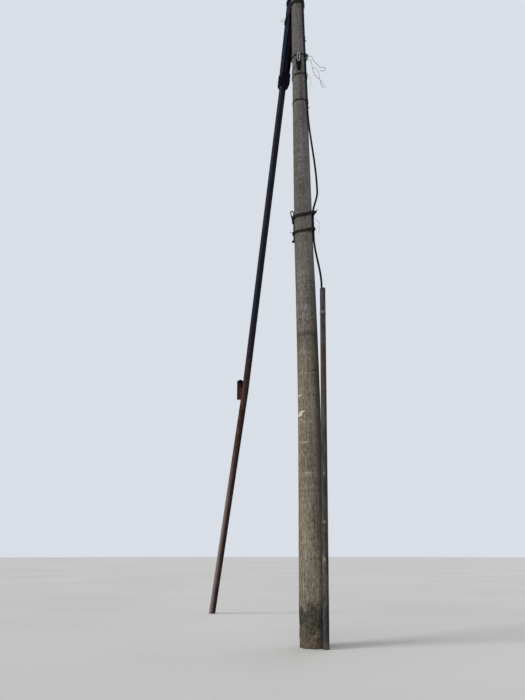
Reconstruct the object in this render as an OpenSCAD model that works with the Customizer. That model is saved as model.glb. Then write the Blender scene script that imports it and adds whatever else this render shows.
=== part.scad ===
// Wooden utility pole with a raking steel pipe brace, a cable conduit and its lashings.
// Origin: centre of the pole at ground level. +Z up, +X right, -Y towards the viewer.

/* [Pole] */
// Height of the pole above the ground
pole_h = 7450; // [7300:50:8600]
// Diameter of the pole at the ground
butt_d = 240; // [228:2:260]
// Diameter of the pole where the butt swell ends
waist_d = 206; // [196:2:216]
// Height where the butt swell ends
swell_h = 1100; // [700:50:1500]
// Diameter of the pole at its top
top_d = 128; // [120:2:140]
// Slope of the weathered cut across the top, in degrees
top_slope = 14; // [5:1:25]
// Width of the worn chamfer round the top
top_chamfer = 7; // [3:1:12]

/* [Brace] */
// Outer diameter of the brace pipe
brace_d = 76; // [70:1:84]
// Wall of the brace pipe
brace_wall = 4; // [3:0.5:6]
// Direction of the brace round the pole, in degrees from +X
brace_az = 111; // [105:1:118]
// Distance of the brace foot from the pole axis
foot_reach = 2757; // [2600:10:2900]
// Distance of the kink from the pole axis
kink_reach = 1653; // [1600:5:1700]
// Height of the kink in the brace
kink_h = 2470; // [2350:10:2600]
// Distance from the top of the head channel down to the plated end of the brace pipe
pipe_end_drop = 260; // [200:10:400]

/* [Side socket] */
// Width of the upright plate behind the kink
plate_w = 120; // [100:5:140]
// Height of the upright plate
plate_h = 228; // [200:4:260]
// Thickness of the upright plate
plate_t = 8; // [6:1:12]
// Width of the lip along the free edge of the plate
plate_lip = 24; // [16:2:36]
// Distance from the lower edge of the plate up to the kink
plate_under = 88; // [80:2:98]
// Distance from the back of the pipe at the lower edge of the plate to the plate
plate_stand = 2; // [1:0.5:6]
// Distance from the axis of the pipe to the right-hand edge of the plate
plate_past = 18; // [12:1:30]
// Diameter of the hole in the upright plate
plate_hole_d = 14; // [10:1:18]
// Distance from the hole to the lower edge of the plate
plate_hole_edge = 78; // [60:2:90]
// Outer diameter of the socket tube
socket_d = 60; // [50:1:66]
// Bore of the socket tube
socket_bore = 51; // [40:1:52]
// Length of the socket tube
socket_len = 84; // [60:2:110]
// Distance from the axis of the socket to the top of the plate
socket_down = 38; // [34:1:50]
// Distance from the axis of the socket to the free edge of the plate
socket_in = 42; // [40:1:50]

/* [Brace head] */
// Gap between the side of the pipe and the side wall of the head channel
channel_side = 0.5; // [0.3:0.1:3]
// Depth of the head channel at its lower end
channel_depth = 105; // [98:1:112]
// Wall of the head channel
channel_t = 5.5; // [4:0.5:8]
// Outer corner radius of the head channel
channel_corner = 10; // [9:1:14]
// How much more upright the head channel stands than the pipe inside it, in degrees
channel_ease = 3; // [2:0.1:3.4]
// Distance from the top of the pole down to the upper end of the head channel
head_drop = 550; // [545:5:580]
// Height of the head channel from its lower end to its upper end
channel_run = 1142; // [1100:2:1180]
// Depth of the pipe axis inside the pole surface at the upper end of the channel
head_bury = 1.4; // [0:0.2:3]
// Height of the clamp collar above the lower end of the head channel
collar_up = 108; // [104:2:130]
// Length of the clamp collar along the brace
collar_len = 190; // [160:2:200]
// Wall of the clamp collar
collar_t = 8; // [6:1:11]
// Length of the two bolt ears of the clamp collar
collar_ear = 6; // [4:1:14]
// Width of the corner cut off the right side of the lower end of the channel and the collar
corner_cut_w = 24; // [16:1:30]
// Height of the corner cut off the right side
corner_cut_h = 92; // [70:2:110]
// Rise of the slanting lower end towards its left side
end_rise = 84; // [60:2:92]
// Diameter of the wire that lashes the brace head
head_wire_d = 8; // [6:1:11]
// Number of turns in each head lashing
head_turns = 5; // [3:1:5]
// Distance from the upper end of the head channel down to the lower head lashing
head_lash_low_drop = 335; // [310:5:350]
// Distance from the upper end of the head channel down to the upper head lashing
head_lash_high_drop = 110; // [90:5:150]

/* [Conduit] */
// Outer diameter of the conduit
conduit_d = 51; // [48:1:55]
// Wall of the conduit
conduit_wall = 3; // [2:0.5:4]
// Height of the conduit mouth
conduit_h = 3020; // [2950:10:3200]
// Distance from the mouth down to the coupling where the upper length screws in
coupling_drop = 246; // [200:2:300]
// Length of the coupling
coupling_len = 30; // [24:2:50]
// Wall of the coupling outside the conduit
coupling_t = 2; // [1.5:0.5:4]
// Direction from the pole axis to the conduit foot, in degrees from +X
conduit_az = -55; // [-62:0.5:-52]
// Sideways lean of the conduit, in degrees
conduit_lean = 1.45; // [1.3:0.05:1.8]
// Direction in which the conduit leans, in degrees from +X
conduit_lean_az = 16.5; // [8:0.5:24]

/* [Cable] */
// Diameter of the service cable
cable_d = 20; // [16:1:21]
// Wall of a cable clip
clip_t = 3; // [2:0.5:4]
// Width of a cable clip
clip_w = 18; // [12:1:26]
// Turn of the clip's tail round the pole, in degrees
clip_tail = 46; // [36:1:56]
// Diameter of the nail head in a cable clip
clip_nail_d = 12; // [8:0.5:14]
// Distances from the top of the pole down to the three cable clips
clip_drops = [2280, 1390, 705];
// Distance from the top of the pole down to the boot on the upper end of the cable
boot_drop = 570; // [560:5:600]
// Distance from the pole axis to the cable where it bows out furthest
bow_reach = 151; // [130:1:170]
// Direction of the cable from the pole axis at the furthest point of its bow, in degrees from +X
bow_az = -17.5; // [-24:0.5:-12]
// Share of the loose length of the cable that lies below the furthest point of its bow
bow_low_share = 0.195; // [0.18:0.005:0.26]
// Length of the boot on the upper end of the cable
boot_len = 110; // [80:5:140]
// Diameter of the boot
boot_d = 34; // [28:1:38]

/* [Middle lashing] */
// Height of the upper wrap
wrap_high_z = 3815; // [3790:5:3840]
// Diameter of one strand of the upper wrap
wrap_high_d = 16; // [12:1:17]
// Distance from the upper wrap down to the lower wrap
wrap_apart = 175; // [160:5:200]
// Diameter of one strand of the lower wrap
wrap_low_d = 12; // [10:1:14]
// Diameter of the bent bar held by the lashing
bar_d = 12; // [9:1:14]
// Direction of the bent bar round the pole, in degrees from +X
bar_az = 192; // [186:1:200]
// Height of the loop of the bent bar above the upper wrap
bar_above = 72; // [60:1:80]
// Distance from the lower wrap down to the lower end of the bent bar
bar_below = 80; // [60:5:120]
// Diameter of the knob on the lower end of the bent bar
bar_knob_d = 27; // [20:1:32]

/* [Hanger and strap] */
// Distance from the top of the pole down to the wire that carries the hanger
hanger_drop = 1640; // [1620:5:1660]
// Diameter of the wire that carries the hanger
hanger_wire_d = 13; // [9:1:15]
// Distance from the hanger wire down to the thin double wire
guard_drop = 260; // [250:5:280]
// Diameter of the thin double wire
guard_wire_d = 8; // [6:0.5:10]
// Width of the hanger strap across its two legs
bail_w = 34; // [30:1:38]
// Width of one leg of the hanger strap
bail_leg = 8; // [6:1:10]
// Thickness of the hanger strap
bail_t = 3; // [2:0.5:4]
// Distance from the hanger wire down to the top of the hanger clamp
hang_gap = 90; // [70:2:96]
// Width of the hanger clamp at its shoulders
clamp_w = 60; // [52:1:70]
// Length of the hanger clamp
clamp_len = 128; // [116:2:134]
// Thickness of the hanger clamp
clamp_t = 36; // [30:1:42]
// Diameter of the hanger pin
hanger_pin_d = 8; // [6:0.5:10]
// Direction of the hanger round the pole, in degrees from +X
hanger_az = 262; // [256:1:280]
// Height of the flat steel strap above the lowest cable clip
strap_up = 38; // [30:1:60]
// Width of the flat steel strap
strap_w = 16; // [10:1:24]
// Thickness of the flat steel strap
strap_t = 3; // [1.5:0.5:4]

/* [Insulators] */
// Distance from the top of the pole to the highest hook
hook_drop = 115; // [105:5:120]
// Distance between one hook and the next one down
hook_pitch = 135; // [130:1:136]
// Number of hooks and insulators
hook_count = 4; // [4:1:4]
// Diameter of the hook rod
hook_d = 18; // [14:1:20]
// Distance from the pole surface to the axis of the insulator
hook_reach = 178; // [150:2:190]
// Depth to which a hook is screwed into the pole
hook_depth = 48; // [30:2:52]
// Radius of the bend in a hook
hook_bend = 42; // [34:1:50]
// Height of an insulator
ins_h = 96; // [88:1:110]
// Diameter of an insulator across its skirt
ins_d = 80; // [74:1:90]
// Diameter of the wire groove of an insulator
ins_neck_d = 44; // [40:1:50]

/* [Fit] */
// Gap between a piece and the round face it is seated on
seat = 0.3; // [0.2:0.05:0.5]
// Radial clearance of a rod in its hole
hole_clear = 0.2; // [0.1:0.05:0.3]

/* [Hidden] */
$fn = 64;
swell_steps = 5;
taper_steps = 12;
swell_power = 1.7;
taper_power = 1.25;
cable_r = cable_d / 2;
brace_r = brace_d / 2;
conduit_r = conduit_d / 2;
conduit_bore_r = conduit_r - conduit_wall;
socket_bore_r = socket_bore / 2;
wire_sides = 8;
wire_step = 12;
cable_sides = 12;
big = 400;
end_cap = 6;

// Pole outline: a swell towards the ground and a slow taper above it.
function shaft_r(z) = z < swell_h
    ? (waist_d + (butt_d - waist_d) * pow(1 - z / swell_h, swell_power)) / 2
    : (waist_d - (waist_d - top_d) * pow((z - swell_h) / (pole_h - swell_h), taper_power)) / 2;
outline_z = concat([for (i = [0:swell_steps - 1]) i * swell_h / swell_steps],
    [for (i = [0:taper_steps]) swell_h + i * (pole_h - swell_h) / taper_steps]);
outline = [for (z = outline_z) [z, shaft_r(z)]];
function pole_r(z) = lookup(z, outline);
pole_top_r = pole_r(pole_h);

// Heights that hang from the top of the pole, and from each other.
channel_top_z = pole_h - head_drop;
channel_low_z = channel_top_z - channel_run;
pipe_end_z = channel_top_z - pipe_end_drop;
head_lash_low_z = channel_top_z - head_lash_low_drop;
head_lash_high_z = channel_top_z - head_lash_high_drop;
clip_low_z = pole_h - clip_drops[0];
clip_mid_z = pole_h - clip_drops[1];
clip_high_z = pole_h - clip_drops[2];
boot_z = pole_h - boot_drop;
strap_z = clip_low_z + strap_up;
hanger_wire_z = pole_h - hanger_drop;
guard_wire_z = hanger_wire_z - guard_drop;
wrap_low_z = wrap_high_z - wrap_apart;
wrap_mid_z = (wrap_high_z + wrap_low_z) / 2;
bar_top_z = wrap_high_z + bar_above;
bar_low_z = wrap_low_z - bar_below;
coupling_z = conduit_h - coupling_drop;

// The brace lies in one upright plane: reach is measured from the pole axis.
// It leans so that the pipe axis runs into the pole surface at the top of its head channel.
lower_lean = atan2(foot_reach - kink_reach, kink_h);
head_reach = pole_r(channel_top_z) - head_bury;
upper_lean = atan2(kink_reach - head_reach, channel_top_z - kink_h);
mitre_tilt = (lower_lean + upper_lean) / 2;
function brace_reach(z) = kink_reach - (z - kink_h) * tan(upper_lean);
function on_brace(z) = (z - kink_h) / cos(upper_lean);
channel_lean = upper_lean - channel_ease;
channel_back = brace_r + seat + channel_t;
channel_w = (brace_r + channel_side + channel_t) * 2;
channel_front = channel_back - channel_depth;
function channel_back_reach(z) = brace_reach(channel_low_z) - (z - channel_low_z) * tan(channel_lean)
    + channel_back / cos(channel_lean);

// The conduit foot stands against the butt, and the conduit leans away from it.
conduit_foot_reach = butt_d / 2 + conduit_r + seat;
conduit_foot = [conduit_foot_reach * cos(conduit_az), conduit_foot_reach * sin(conduit_az), 0];
conduit_dir = [sin(conduit_lean) * cos(conduit_lean_az), sin(conduit_lean) * sin(conduit_lean_az),
    cos(conduit_lean)];
function conduit_at(z) = conduit_foot + conduit_dir * (z / cos(conduit_lean));

// The cable lies on the pole above its lowest clip, bows out, is tied in by the middle lashing,
// and runs down inside the conduit.
cable_az_top = -56;
cable_az_clip = -40;
cable_az_lash = -19;
cable_step = 170;
cable_end_run = 25;
cable_enter = 12;
lash_run = 30;
bend_steps = 8;
function cable_az(z) = lookup(z, [[clip_low_z, cable_az_clip], [clip_high_z, cable_az_top]]);
function on_pole(z, az, out) = [(pole_r(z) + out) * cos(az), (pole_r(z) + out) * sin(az), z];
cable_out = cable_r + seat * 2;
cable_top = on_pole(boot_z, cable_az(boot_z), cable_out);
cable_clipped = concat([cable_top, cable_top - [0, 0, cable_end_run]],
    [for (z = [boot_z - cable_step:-cable_step:clip_low_z]) on_pole(z, cable_az(z), cable_out)]);

// Smooth bend between two points of the cable, which leaves and arrives along the given directions.
function bend(a, away, b, into, steps) = [for (i = [1:steps - 1])
    let (t = i / steps, run = norm(b - a))
    a * (2 * pow(t, 3) - 3 * pow(t, 2) + 1) + away * run * (pow(t, 3) - 2 * pow(t, 2) + t)
    + b * (3 * pow(t, 2) - 2 * pow(t, 3)) + into * run * (pow(t, 3) - pow(t, 2))];
down = [0, 0, -1];
bow_top = on_pole(clip_low_z - clip_w, cable_az_clip, cable_out);
lash_top = on_pole(wrap_high_z + lash_run, cable_az_lash, cable_out);
lash_foot = on_pole(wrap_low_z - lash_run, cable_az_lash, cable_out);
bow_z = lash_top[2] + (bow_top[2] - lash_top[2]) * bow_low_share;
bow_peak = [bow_reach * cos(bow_az), bow_reach * sin(bow_az), bow_z];
cable_aside = [-conduit_bore_r * 0.36, conduit_bore_r * 0.27, 0];
conduit_entry = conduit_at(conduit_h + cable_enter) + cable_aside;
cable_bow = concat([bow_top], bend(bow_top, down, bow_peak, down, bend_steps), [bow_peak],
    bend(bow_peak, down, lash_top, down, bend_steps));
cable_tied = [lash_top, on_pole(wrap_mid_z, cable_az_lash, cable_out), lash_foot];
cable_to_conduit = bend(lash_foot, down, conduit_entry, -conduit_dir, bend_steps);
cable_in_conduit = [for (z = [conduit_h + cable_enter, coupling_z, coupling_z / 2, end_cap])
    conduit_at(z) + cable_aside];
cable_path = concat(cable_clipped, cable_bow, cable_tied, cable_to_conduit, cable_in_conduit);

function hook_z(i) = pole_h - hook_drop - i * hook_pitch;
function hook_az(i) = i % 2 == 0 ? 0 : 180;

// Round bar swept along a list of points, open or closed, as one polyhedron.
function unit(v) = v / norm(v);
function heading(path, i, closed) = let (n = len(path))
    closed ? unit(path[(i + 1) % n] - path[(i + n - 1) % n])
    : unit(path[min(i + 1, n - 1)] - path[max(i - 1, 0)]);
module swept_bar(path, r, ref, sides, closed = false) {
    n = len(path);
    rings = closed ? n : n - 1;
    points = [for (i = [0:n - 1])
        let (t = heading(path, i, closed), u = unit(cross(ref, t)), v = cross(t, u))
        for (k = [0:sides - 1])
            path[i] + r * (cos(k * 360 / sides) * u + sin(k * 360 / sides) * v)];
    walls = [for (i = [0:rings - 1], k = [0:sides - 1])
        let (j = (i + 1) % n, m = (k + 1) % sides)
        [i * sides + k, j * sides + k, j * sides + m, i * sides + m]];
    ends = closed ? [] : [[for (k = [0:sides - 1]) k],
        [for (k = [sides - 1:-1:0]) (n - 1) * sides + k]];
    polyhedron(points = points, faces = concat(walls, ends), convexity = 6);
}

// Taut line round several circles [x, y, radius] given anticlockwise. Its chords touch the circles.
function tangent_az(a, b) = atan2(b[1] - a[1], b[0] - a[0])
    - acos((a[2] - b[2]) / norm([b[0] - a[0], b[1] - a[1]]));
function turn(a, b) = (b - a + 720) % 360;
function taut_line(cs, z) = let (n = len(cs)) [for (i = [0:n - 1])
    let (c = cs[i], a = tangent_az(cs[(i + n - 1) % n], c), s = turn(a, tangent_az(c, cs[(i + 1) % n])),
        m = max(2, ceil(s / wire_step)), r = c[2] / cos(s / m / 2))
    for (k = [0:m]) [c[0] + r * cos(a + s * k / m), c[1] + r * sin(a + s * k / m), z]];

// Flat shape bounded by the taut line round the same circles. Its straight sides run a hair inside
// the circles, so that they cross them instead of only touching them.
taut_inset = 0.05;
module taut_shape(cs) {
    n = len(cs);
    for (c = cs) translate([c[0], c[1]]) circle(c[2]);
    polygon([for (i = [0:n - 1]) let (c = cs[i], r = c[2] - taut_inset,
        a = tangent_az(cs[(i + n - 1) % n], c), b = tangent_az(c, cs[(i + 1) % n])) for (q = [a, b])
        [c[0] + r * cos(q), c[1] + r * sin(q)]]);
}

// Circle that a taut line leaves room for: the pole, or the cable lying on it.
function round_pole(z, reach) = [0, 0, pole_r(z) + seat + reach];
function round_cable(z, az, reach) = let (at = on_pole(z, az, cable_out))
    [at[0], at[1], cable_r + seat * 2 + reach];

// Closed turn of wire round the pole and the cable.
module wire_turn(z, d) {
    swept_bar(taut_line([round_pole(z - d / 2, d / 2), round_cable(z, cable_az(z), d / 2)], z), d / 2,
        [0, 0, 1], wire_sides, true);
}

// Cone of the pole grown by a gap, for shapes that are cut to lie against it.
module pole_space(z0, z1, gap) {
    translate([0, 0, z0])
        cylinder(h = z1 - z0, r1 = pole_r(z0) + gap, r2 = pole_r(z1) + gap, $fn = 96);
}

module brace_plane() {
    rotate([0, 0, brace_az])
        children();
}

// Frame on the upper brace: its axis is Z, X points away from the pole, and 0 is the kink.
module upper_frame() {
    brace_plane()
        translate([kink_reach, 0, kink_h])
            rotate([0, -upper_lean, 0])
                children();
}

// Frame on the head channel: 0 is on the pipe axis at the lower end of the channel.
module channel_frame() {
    brace_plane()
        translate([brace_reach(channel_low_z), 0, channel_low_z])
            rotate([0, -channel_lean, 0])
                children();
}

module pole_shaft() {
    color([0.48, 0.44, 0.37])
        difference() {
            rotate_extrude($fn = 96)
                polygon(concat([[0, 0]], [for (i = [0:len(outline) - 2]) [outline[i][1], outline[i][0]]],
                    [[pole_r(pole_h - top_chamfer), pole_h - top_chamfer],
                    [pole_top_r - top_chamfer, pole_h], [0, pole_h]]));
            translate([-pole_top_r, 0, pole_h])
                rotate([0, top_slope, 0])
                    translate([-big, -big, 0])
                        cube([big * 2, big * 2, big]);
            for (i = [0:hook_count - 1])
                hook_frame(i)
                    translate([-hook_depth, 0, 0])
                        rotate([0, 90, 0])
                            cylinder(h = hook_depth * 2, d = hook_d + hole_clear * 2);
        }
}

// Frame on the lower brace: its axis is Z, pointing down to the foot, and 0 is the kink.
module lower_frame() {
    brace_plane()
        translate([kink_reach, 0, kink_h])
            rotate([0, 180 - lower_lean, 0])
                children();
}

// Half space above or below the plane in which the two lengths of the brace are welded.
module beyond_mitre(side) {
    brace_plane()
        translate([kink_reach, 0, kink_h])
            rotate([0, -mitre_tilt, 0])
                translate([-big / 2, -big / 2, side < 0 ? -big : 0])
                    cube(big);
}

module ground_below(z) {
    brace_plane()
        translate([foot_reach - big, -big / 2, z - big])
            cube([big * 2, big, big]);
}

// Steel pipe with its foot cut level and plated, and its top mitred at the kink.
module brace_lower_pipe() {
    length = kink_h / cos(lower_lean) + brace_d;
    color([0.40, 0.24, 0.18])
        difference() {
            lower_frame()
                translate([0, 0, -brace_d])
                    cylinder(h = length + brace_d, d = brace_d);
            difference() {
                lower_frame()
                    translate([0, 0, -brace_d - 1])
                        cylinder(h = length + brace_d + 2, r = brace_r - brace_wall);
                ground_below(end_cap);
            }
            ground_below(0);
            beyond_mitre(1);
        }
}

// Steel pipe above the kink, with a plated end inside the head channel.
module brace_upper_pipe() {
    length = on_brace(pipe_end_z);
    color([0.20, 0.14, 0.12])
        difference() {
            upper_frame()
                difference() {
                    translate([0, 0, -brace_d])
                        cylinder(h = length + brace_d, d = brace_d);
                    translate([0, 0, -brace_d - 1])
                        cylinder(h = length + brace_d + 1 - end_cap, r = brace_r - brace_wall);
                }
            beyond_mitre(-1);
        }
}

// Upright plate behind the kink. A web joins it to the back of the leaning pipe.
function brace_axis_reach(z) = z < kink_h ? kink_reach + (kink_h - z) * tan(lower_lean)
    : brace_reach(z);
function brace_axis_x(z) = brace_axis_reach(z) * cos(brace_az);
function brace_axis_y(z) = brace_axis_reach(z) * sin(brace_az);
plate_low_z = kink_h - plate_under;
plate_mid_z = plate_low_z + plate_h / 2;
plate_top_z = plate_low_z + plate_h;
plate_x1 = brace_axis_x(plate_mid_z) + plate_past;
plate_x0 = plate_x1 - plate_w;
plate_y = brace_axis_y(plate_low_z) + brace_r / cos(lower_lean) + plate_stand;
module brace_side_plate() {
    hole_x = plate_x0 + plate_w * 0.32;
    web_x = brace_axis_x(plate_mid_z) - plate_t / 2;
    color([0.36, 0.25, 0.20])
        difference() {
            union() {
                translate([plate_x0, plate_y, plate_low_z])
                    cube([plate_w, plate_t, plate_h]);
                translate([plate_x0, plate_y - plate_lip, plate_low_z])
                    cube([plate_t, plate_lip + 1, plate_h]);
                translate([web_x, 0, 0])
                    rotate([90, 0, 90])
                        linear_extrude(plate_t)
                            polygon([[plate_y + 1, plate_low_z], [plate_y + 1, plate_top_z],
                                [brace_axis_y(plate_top_z), plate_top_z],
                                [brace_axis_y(kink_h), kink_h],
                                [brace_axis_y(plate_low_z), plate_low_z]]);
            }
            lower_frame()
                translate([0, 0, -brace_d])
                    cylinder(h = brace_d * 4, r = brace_r + seat);
            upper_frame()
                translate([0, 0, -brace_d])
                    cylinder(h = brace_d * 5, r = brace_r + seat);
            translate([hole_x, plate_y - 1, plate_low_z + plate_hole_edge])
                rotate([-90, 0, 0])
                    cylinder(h = plate_t + 2, d = plate_hole_d);
        }
}

// Short tube welded square to the plate, open towards the viewer.
module brace_side_socket() {
    color([0.10, 0.09, 0.10])
        translate([plate_x0 + socket_in, plate_y - socket_len, plate_top_z - socket_down])
            rotate([-90, 0, 0])
                difference() {
                    cylinder(h = socket_len, d = socket_d);
                    translate([0, 0, -1])
                        cylinder(h = socket_len + 2, r = socket_bore_r);
                }
}

// Section of the head channel, open towards the pole. It reaches some way past the front edge.
module channel_section(grow, front) {
    half = channel_w / 2 + grow;
    back = channel_back + grow;
    corner = channel_corner + grow;
    translate([front, -half])
        square([back - front - corner, half * 2]);
    translate([front, -half + corner])
        square([back - front, half * 2 - corner * 2]);
    for (s = [-1, 1])
        translate([back - corner, s * (half - corner)])
            circle(corner);
}

// Two slanting cuts across the lower end of the channel and its collar. They meet right of the middle.
module end_cut() {
    side = channel_w / 2 + collar_t;
    translate([-big, 0, 0])
        rotate([90, 0, 90])
            linear_extrude(big * 2)
                polygon([[-side - 1, -big], [-side - 1, corner_cut_h], [corner_cut_w - side, 0],
                    [side, end_rise], [side + big, end_rise], [side + big, -big]]);
}

// Channel over the end of the pipe. Its back is steeper than the pipe, so it grows deeper upwards,
// its front edges run along the pipe, and they are cut to lie against the round pole.
module brace_head_channel() {
    high = channel_run / cos(channel_lean) + channel_depth;
    front = channel_front - big / 2;
    color([0.09, 0.10, 0.12])
        difference() {
            channel_frame()
                difference() {
                    linear_extrude(high)
                        channel_section(0, front);
                    translate([front - 1, channel_t - channel_w / 2, -1])
                        cube([channel_back - channel_t - front + 1, channel_w - channel_t * 2, high + 2]);
                    end_cut();
                }
            brace_plane()
                translate([brace_reach(channel_low_z), 0, channel_low_z])
                    rotate([0, -upper_lean, 0])
                        translate([channel_front - big * 2, -big, -big])
                            cube([big * 2, big * 2, big * 5]);
            pole_space(channel_low_z, channel_top_z + 1, seat);
            translate([-big, -big, channel_top_z])
                cube([big * 2, big * 2, big]);
        }
}

// Closed band round the channel and the pipe, with two bolt ears on its left side.
module brace_head_collar() {
    ear_inset = 22;
    ear_apart = 12;
    ear_top = collar_len * 0.8;
    mid = collar_up / cos(channel_lean);
    inner_front = channel_front - seat - (mid + collar_len / 2) * tan(channel_ease);
    front = inner_front - collar_t;
    color([0.08, 0.08, 0.09])
        channel_frame()
            difference() {
                translate([0, 0, mid - collar_len / 2])
                    difference() {
                        union() {
                            linear_extrude(collar_len)
                                channel_section(collar_t, front);
                            for (x = [ear_inset, ear_inset + collar_t + ear_apart])
                                translate([front + x, channel_w / 2, 0])
                                    cube([collar_t, collar_t + collar_ear, ear_top]);
                        }
                        translate([0, 0, -1])
                            linear_extrude(collar_len + 2)
                                channel_section(seat, inner_front);
                    }
                end_cut();
            }
}

// Circles that a horizontal turn round the pole and the channel has to clear.
function head_circles(z, d) = let (
        gap = d / 2 / cos(channel_lean) + seat,
        back = channel_back_reach(z - d / 2) - channel_corner,
        side = channel_w / 2 - channel_corner)
    [round_cable(z, cable_az(z) - brace_az, d / 2), round_pole(z - d / 2, d / 2),
    [back, -side, channel_corner + gap], [back, side, channel_corner + gap],
    round_pole(z - d / 2, d / 2)];

module head_lashing(z) {
    color([0.10, 0.09, 0.09])
        brace_plane()
            for (i = [0:head_turns - 1])
                let (h = z + i * (head_wire_d + 1))
                    swept_bar(taut_line(head_circles(h, head_wire_d), h), head_wire_d / 2,
                        [0, 0, 1], wire_sides, true);
}

module brace_head_lashing_low() {
    head_lashing(head_lash_low_z);
}

module brace_head_lashing_high() {
    head_lashing(head_lash_high_z);
}

module conduit_frame() {
    translate(conduit_foot)
        rotate([0, 0, conduit_lean_az])
            rotate([0, conduit_lean, 0])
                children();
}

module conduit_tube(z0, z1, r_out) {
    conduit_frame()
        translate([0, 0, z0])
            difference() {
                cylinder(h = z1 - z0, r = r_out);
                translate([0, 0, -1])
                    cylinder(h = z1 - z0 + 2, r = conduit_bore_r);
            }
}

module conduit_lower_pipe() {
    color([0.33, 0.26, 0.22])
        difference() {
            conduit_tube(-10, coupling_z, conduit_r);
            translate([-big, -big, -big])
                cube([big * 2, big * 2, big]);
        }
}

module conduit_upper_pipe() {
    color([0.24, 0.23, 0.23])
        conduit_tube(coupling_z, conduit_h, conduit_r);
}

module conduit_coupling() {
    color([0.42, 0.39, 0.36])
        conduit_frame()
            translate([0, 0, coupling_z - coupling_len / 2])
                difference() {
                    cylinder(h = coupling_len, r = conduit_r + coupling_t);
                    translate([0, 0, -1])
                        cylinder(h = coupling_len * 2, r = conduit_r);
                }
}

module service_cable() {
    color([0.05, 0.05, 0.06])
        swept_bar(cable_path, cable_r, [0, 1, 0], cable_sides);
}

module cable_end_boot() {
    at = cable_path[0];
    color([0.07, 0.07, 0.08])
        difference() {
            translate(at)
                union() {
                    cylinder(h = boot_len * 0.55, r1 = cable_r, r2 = boot_d / 2);
                    translate([0, 0, boot_len * 0.55])
                        cylinder(h = boot_len * 0.45, r1 = boot_d / 2, r2 = boot_d / 2 - 4);
                }
            pole_space(boot_z - 10, boot_z + boot_len + 10, seat);
        }
}

// Saddle over the cable with a tail round the pole, held by a nail.
module cable_clip(z) {
    az = cable_az(z);
    at = on_pole(z, az, cable_out);
    bore = cable_r + 0.8;
    low_r = pole_r(z - clip_w / 2) + seat;
    color([0.22, 0.21, 0.21])
        difference() {
            union() {
                translate([at[0], at[1], z - clip_w / 2])
                    cylinder(h = clip_w, r = bore + clip_t);
                rotate([0, 0, az])
                    rotate_extrude(angle = clip_tail)
                        translate([low_r, z - clip_w / 2])
                            square([clip_t, clip_w]);
                rotate([0, 0, az + clip_tail - 8])
                    translate([low_r + clip_t - 1, 0, z])
                        rotate([0, 90, 0])
                            cylinder(h = 7, d = clip_nail_d);
            }
            translate([at[0], at[1], z - clip_w])
                cylinder(h = clip_w * 2, r = bore);
            pole_space(z - clip_w, z + clip_w, seat);
        }
}

module cable_clip_low() {
    cable_clip(clip_low_z);
}

module cable_clip_mid() {
    cable_clip(clip_mid_z);
}

module cable_clip_high() {
    cable_clip(clip_high_z);
}

// Circles that a turn of the middle lashing has to clear: pole, cable and bent bar.
function lash_circles(z, d) = let (bar_at = on_pole(z, bar_az, bar_out))
    [round_cable(z, cable_az_lash, d / 2), round_pole(z - d / 2, d / 2),
    [bar_at[0], bar_at[1], bar_d / 2 + d / 2 + seat * 2], round_pole(z - d / 2, d / 2)];

module lashing_turn(z, d) {
    swept_bar(taut_line(lash_circles(z, d), z), d / 2, [0, 0, 1], wire_sides, true);
}

module lashing_upper_wrap() {
    color([0.11, 0.10, 0.10])
        for (s = [-1, 1])
            lashing_turn(wrap_high_z + s * (wrap_high_d + 1) / 2, wrap_high_d);
}

module lashing_lower_wrap() {
    color([0.13, 0.10, 0.10])
        for (s = [-1, 1])
            lashing_turn(wrap_low_z + s * (wrap_low_d + 1) / 2, wrap_low_d);
}

// Bar bent to a narrow loop that the upper wrap passes through, with a knob at its foot.
bar_out = bar_d / 2 + seat * 2;
loop_w = bar_d + wrap_high_d + seat * 5;
loop_low_z = wrap_high_z - wrap_high_d - bar_d - 2;
loop_bend = 12;
loop_shut = 34;
knob_flat = 4;
module lashing_bent_bar() {
    out = [cos(bar_az), sin(bar_az), 0];
    leg = [for (z = [bar_low_z, wrap_low_z, wrap_mid_z, wrap_high_z, bar_top_z - loop_w / 2])
        on_pole(z, bar_az, bar_out)];
    top = leg[len(leg) - 1];
    arch = [for (a = [150:-30:0])
        top + out * (loop_w / 2) * (1 + cos(a)) + [0, 0, loop_w / 2 * sin(a)]];
    back = [on_pole(wrap_high_z, bar_az, bar_out + loop_w), on_pole(loop_low_z, bar_az, bar_out + loop_w),
        on_pole(loop_low_z - loop_bend, bar_az, bar_out + loop_w * 0.8),
        on_pole(loop_low_z - loop_shut, bar_az, bar_out + bar_d + seat)];
    color([0.10, 0.09, 0.10])
        swept_bar(concat(leg, arch, back), bar_d / 2, [sin(bar_az), -cos(bar_az), 0], wire_sides);
}

// Round knob under the end of the bar, flattened where the bar meets it.
module lashing_bar_knob() {
    at = on_pole(bar_low_z, bar_az, bar_knob_d / 2 + seat * 3);
    color([0.05, 0.05, 0.05])
        difference() {
            translate([at[0], at[1], bar_low_z - bar_knob_d / 2 + knob_flat])
                sphere(d = bar_knob_d);
            translate([at[0] - bar_knob_d, at[1] - bar_knob_d, bar_low_z])
                cube(bar_knob_d * 2);
        }
}

module hanger_wire() {
    color([0.13, 0.12, 0.12])
        wire_turn(hanger_wire_z, hanger_wire_d);
}

module guard_wire() {
    color([0.30, 0.29, 0.28])
        for (s = [-1, 1])
            wire_turn(guard_wire_z + s * (guard_wire_d + 6) / 2, guard_wire_d);
}

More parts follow.
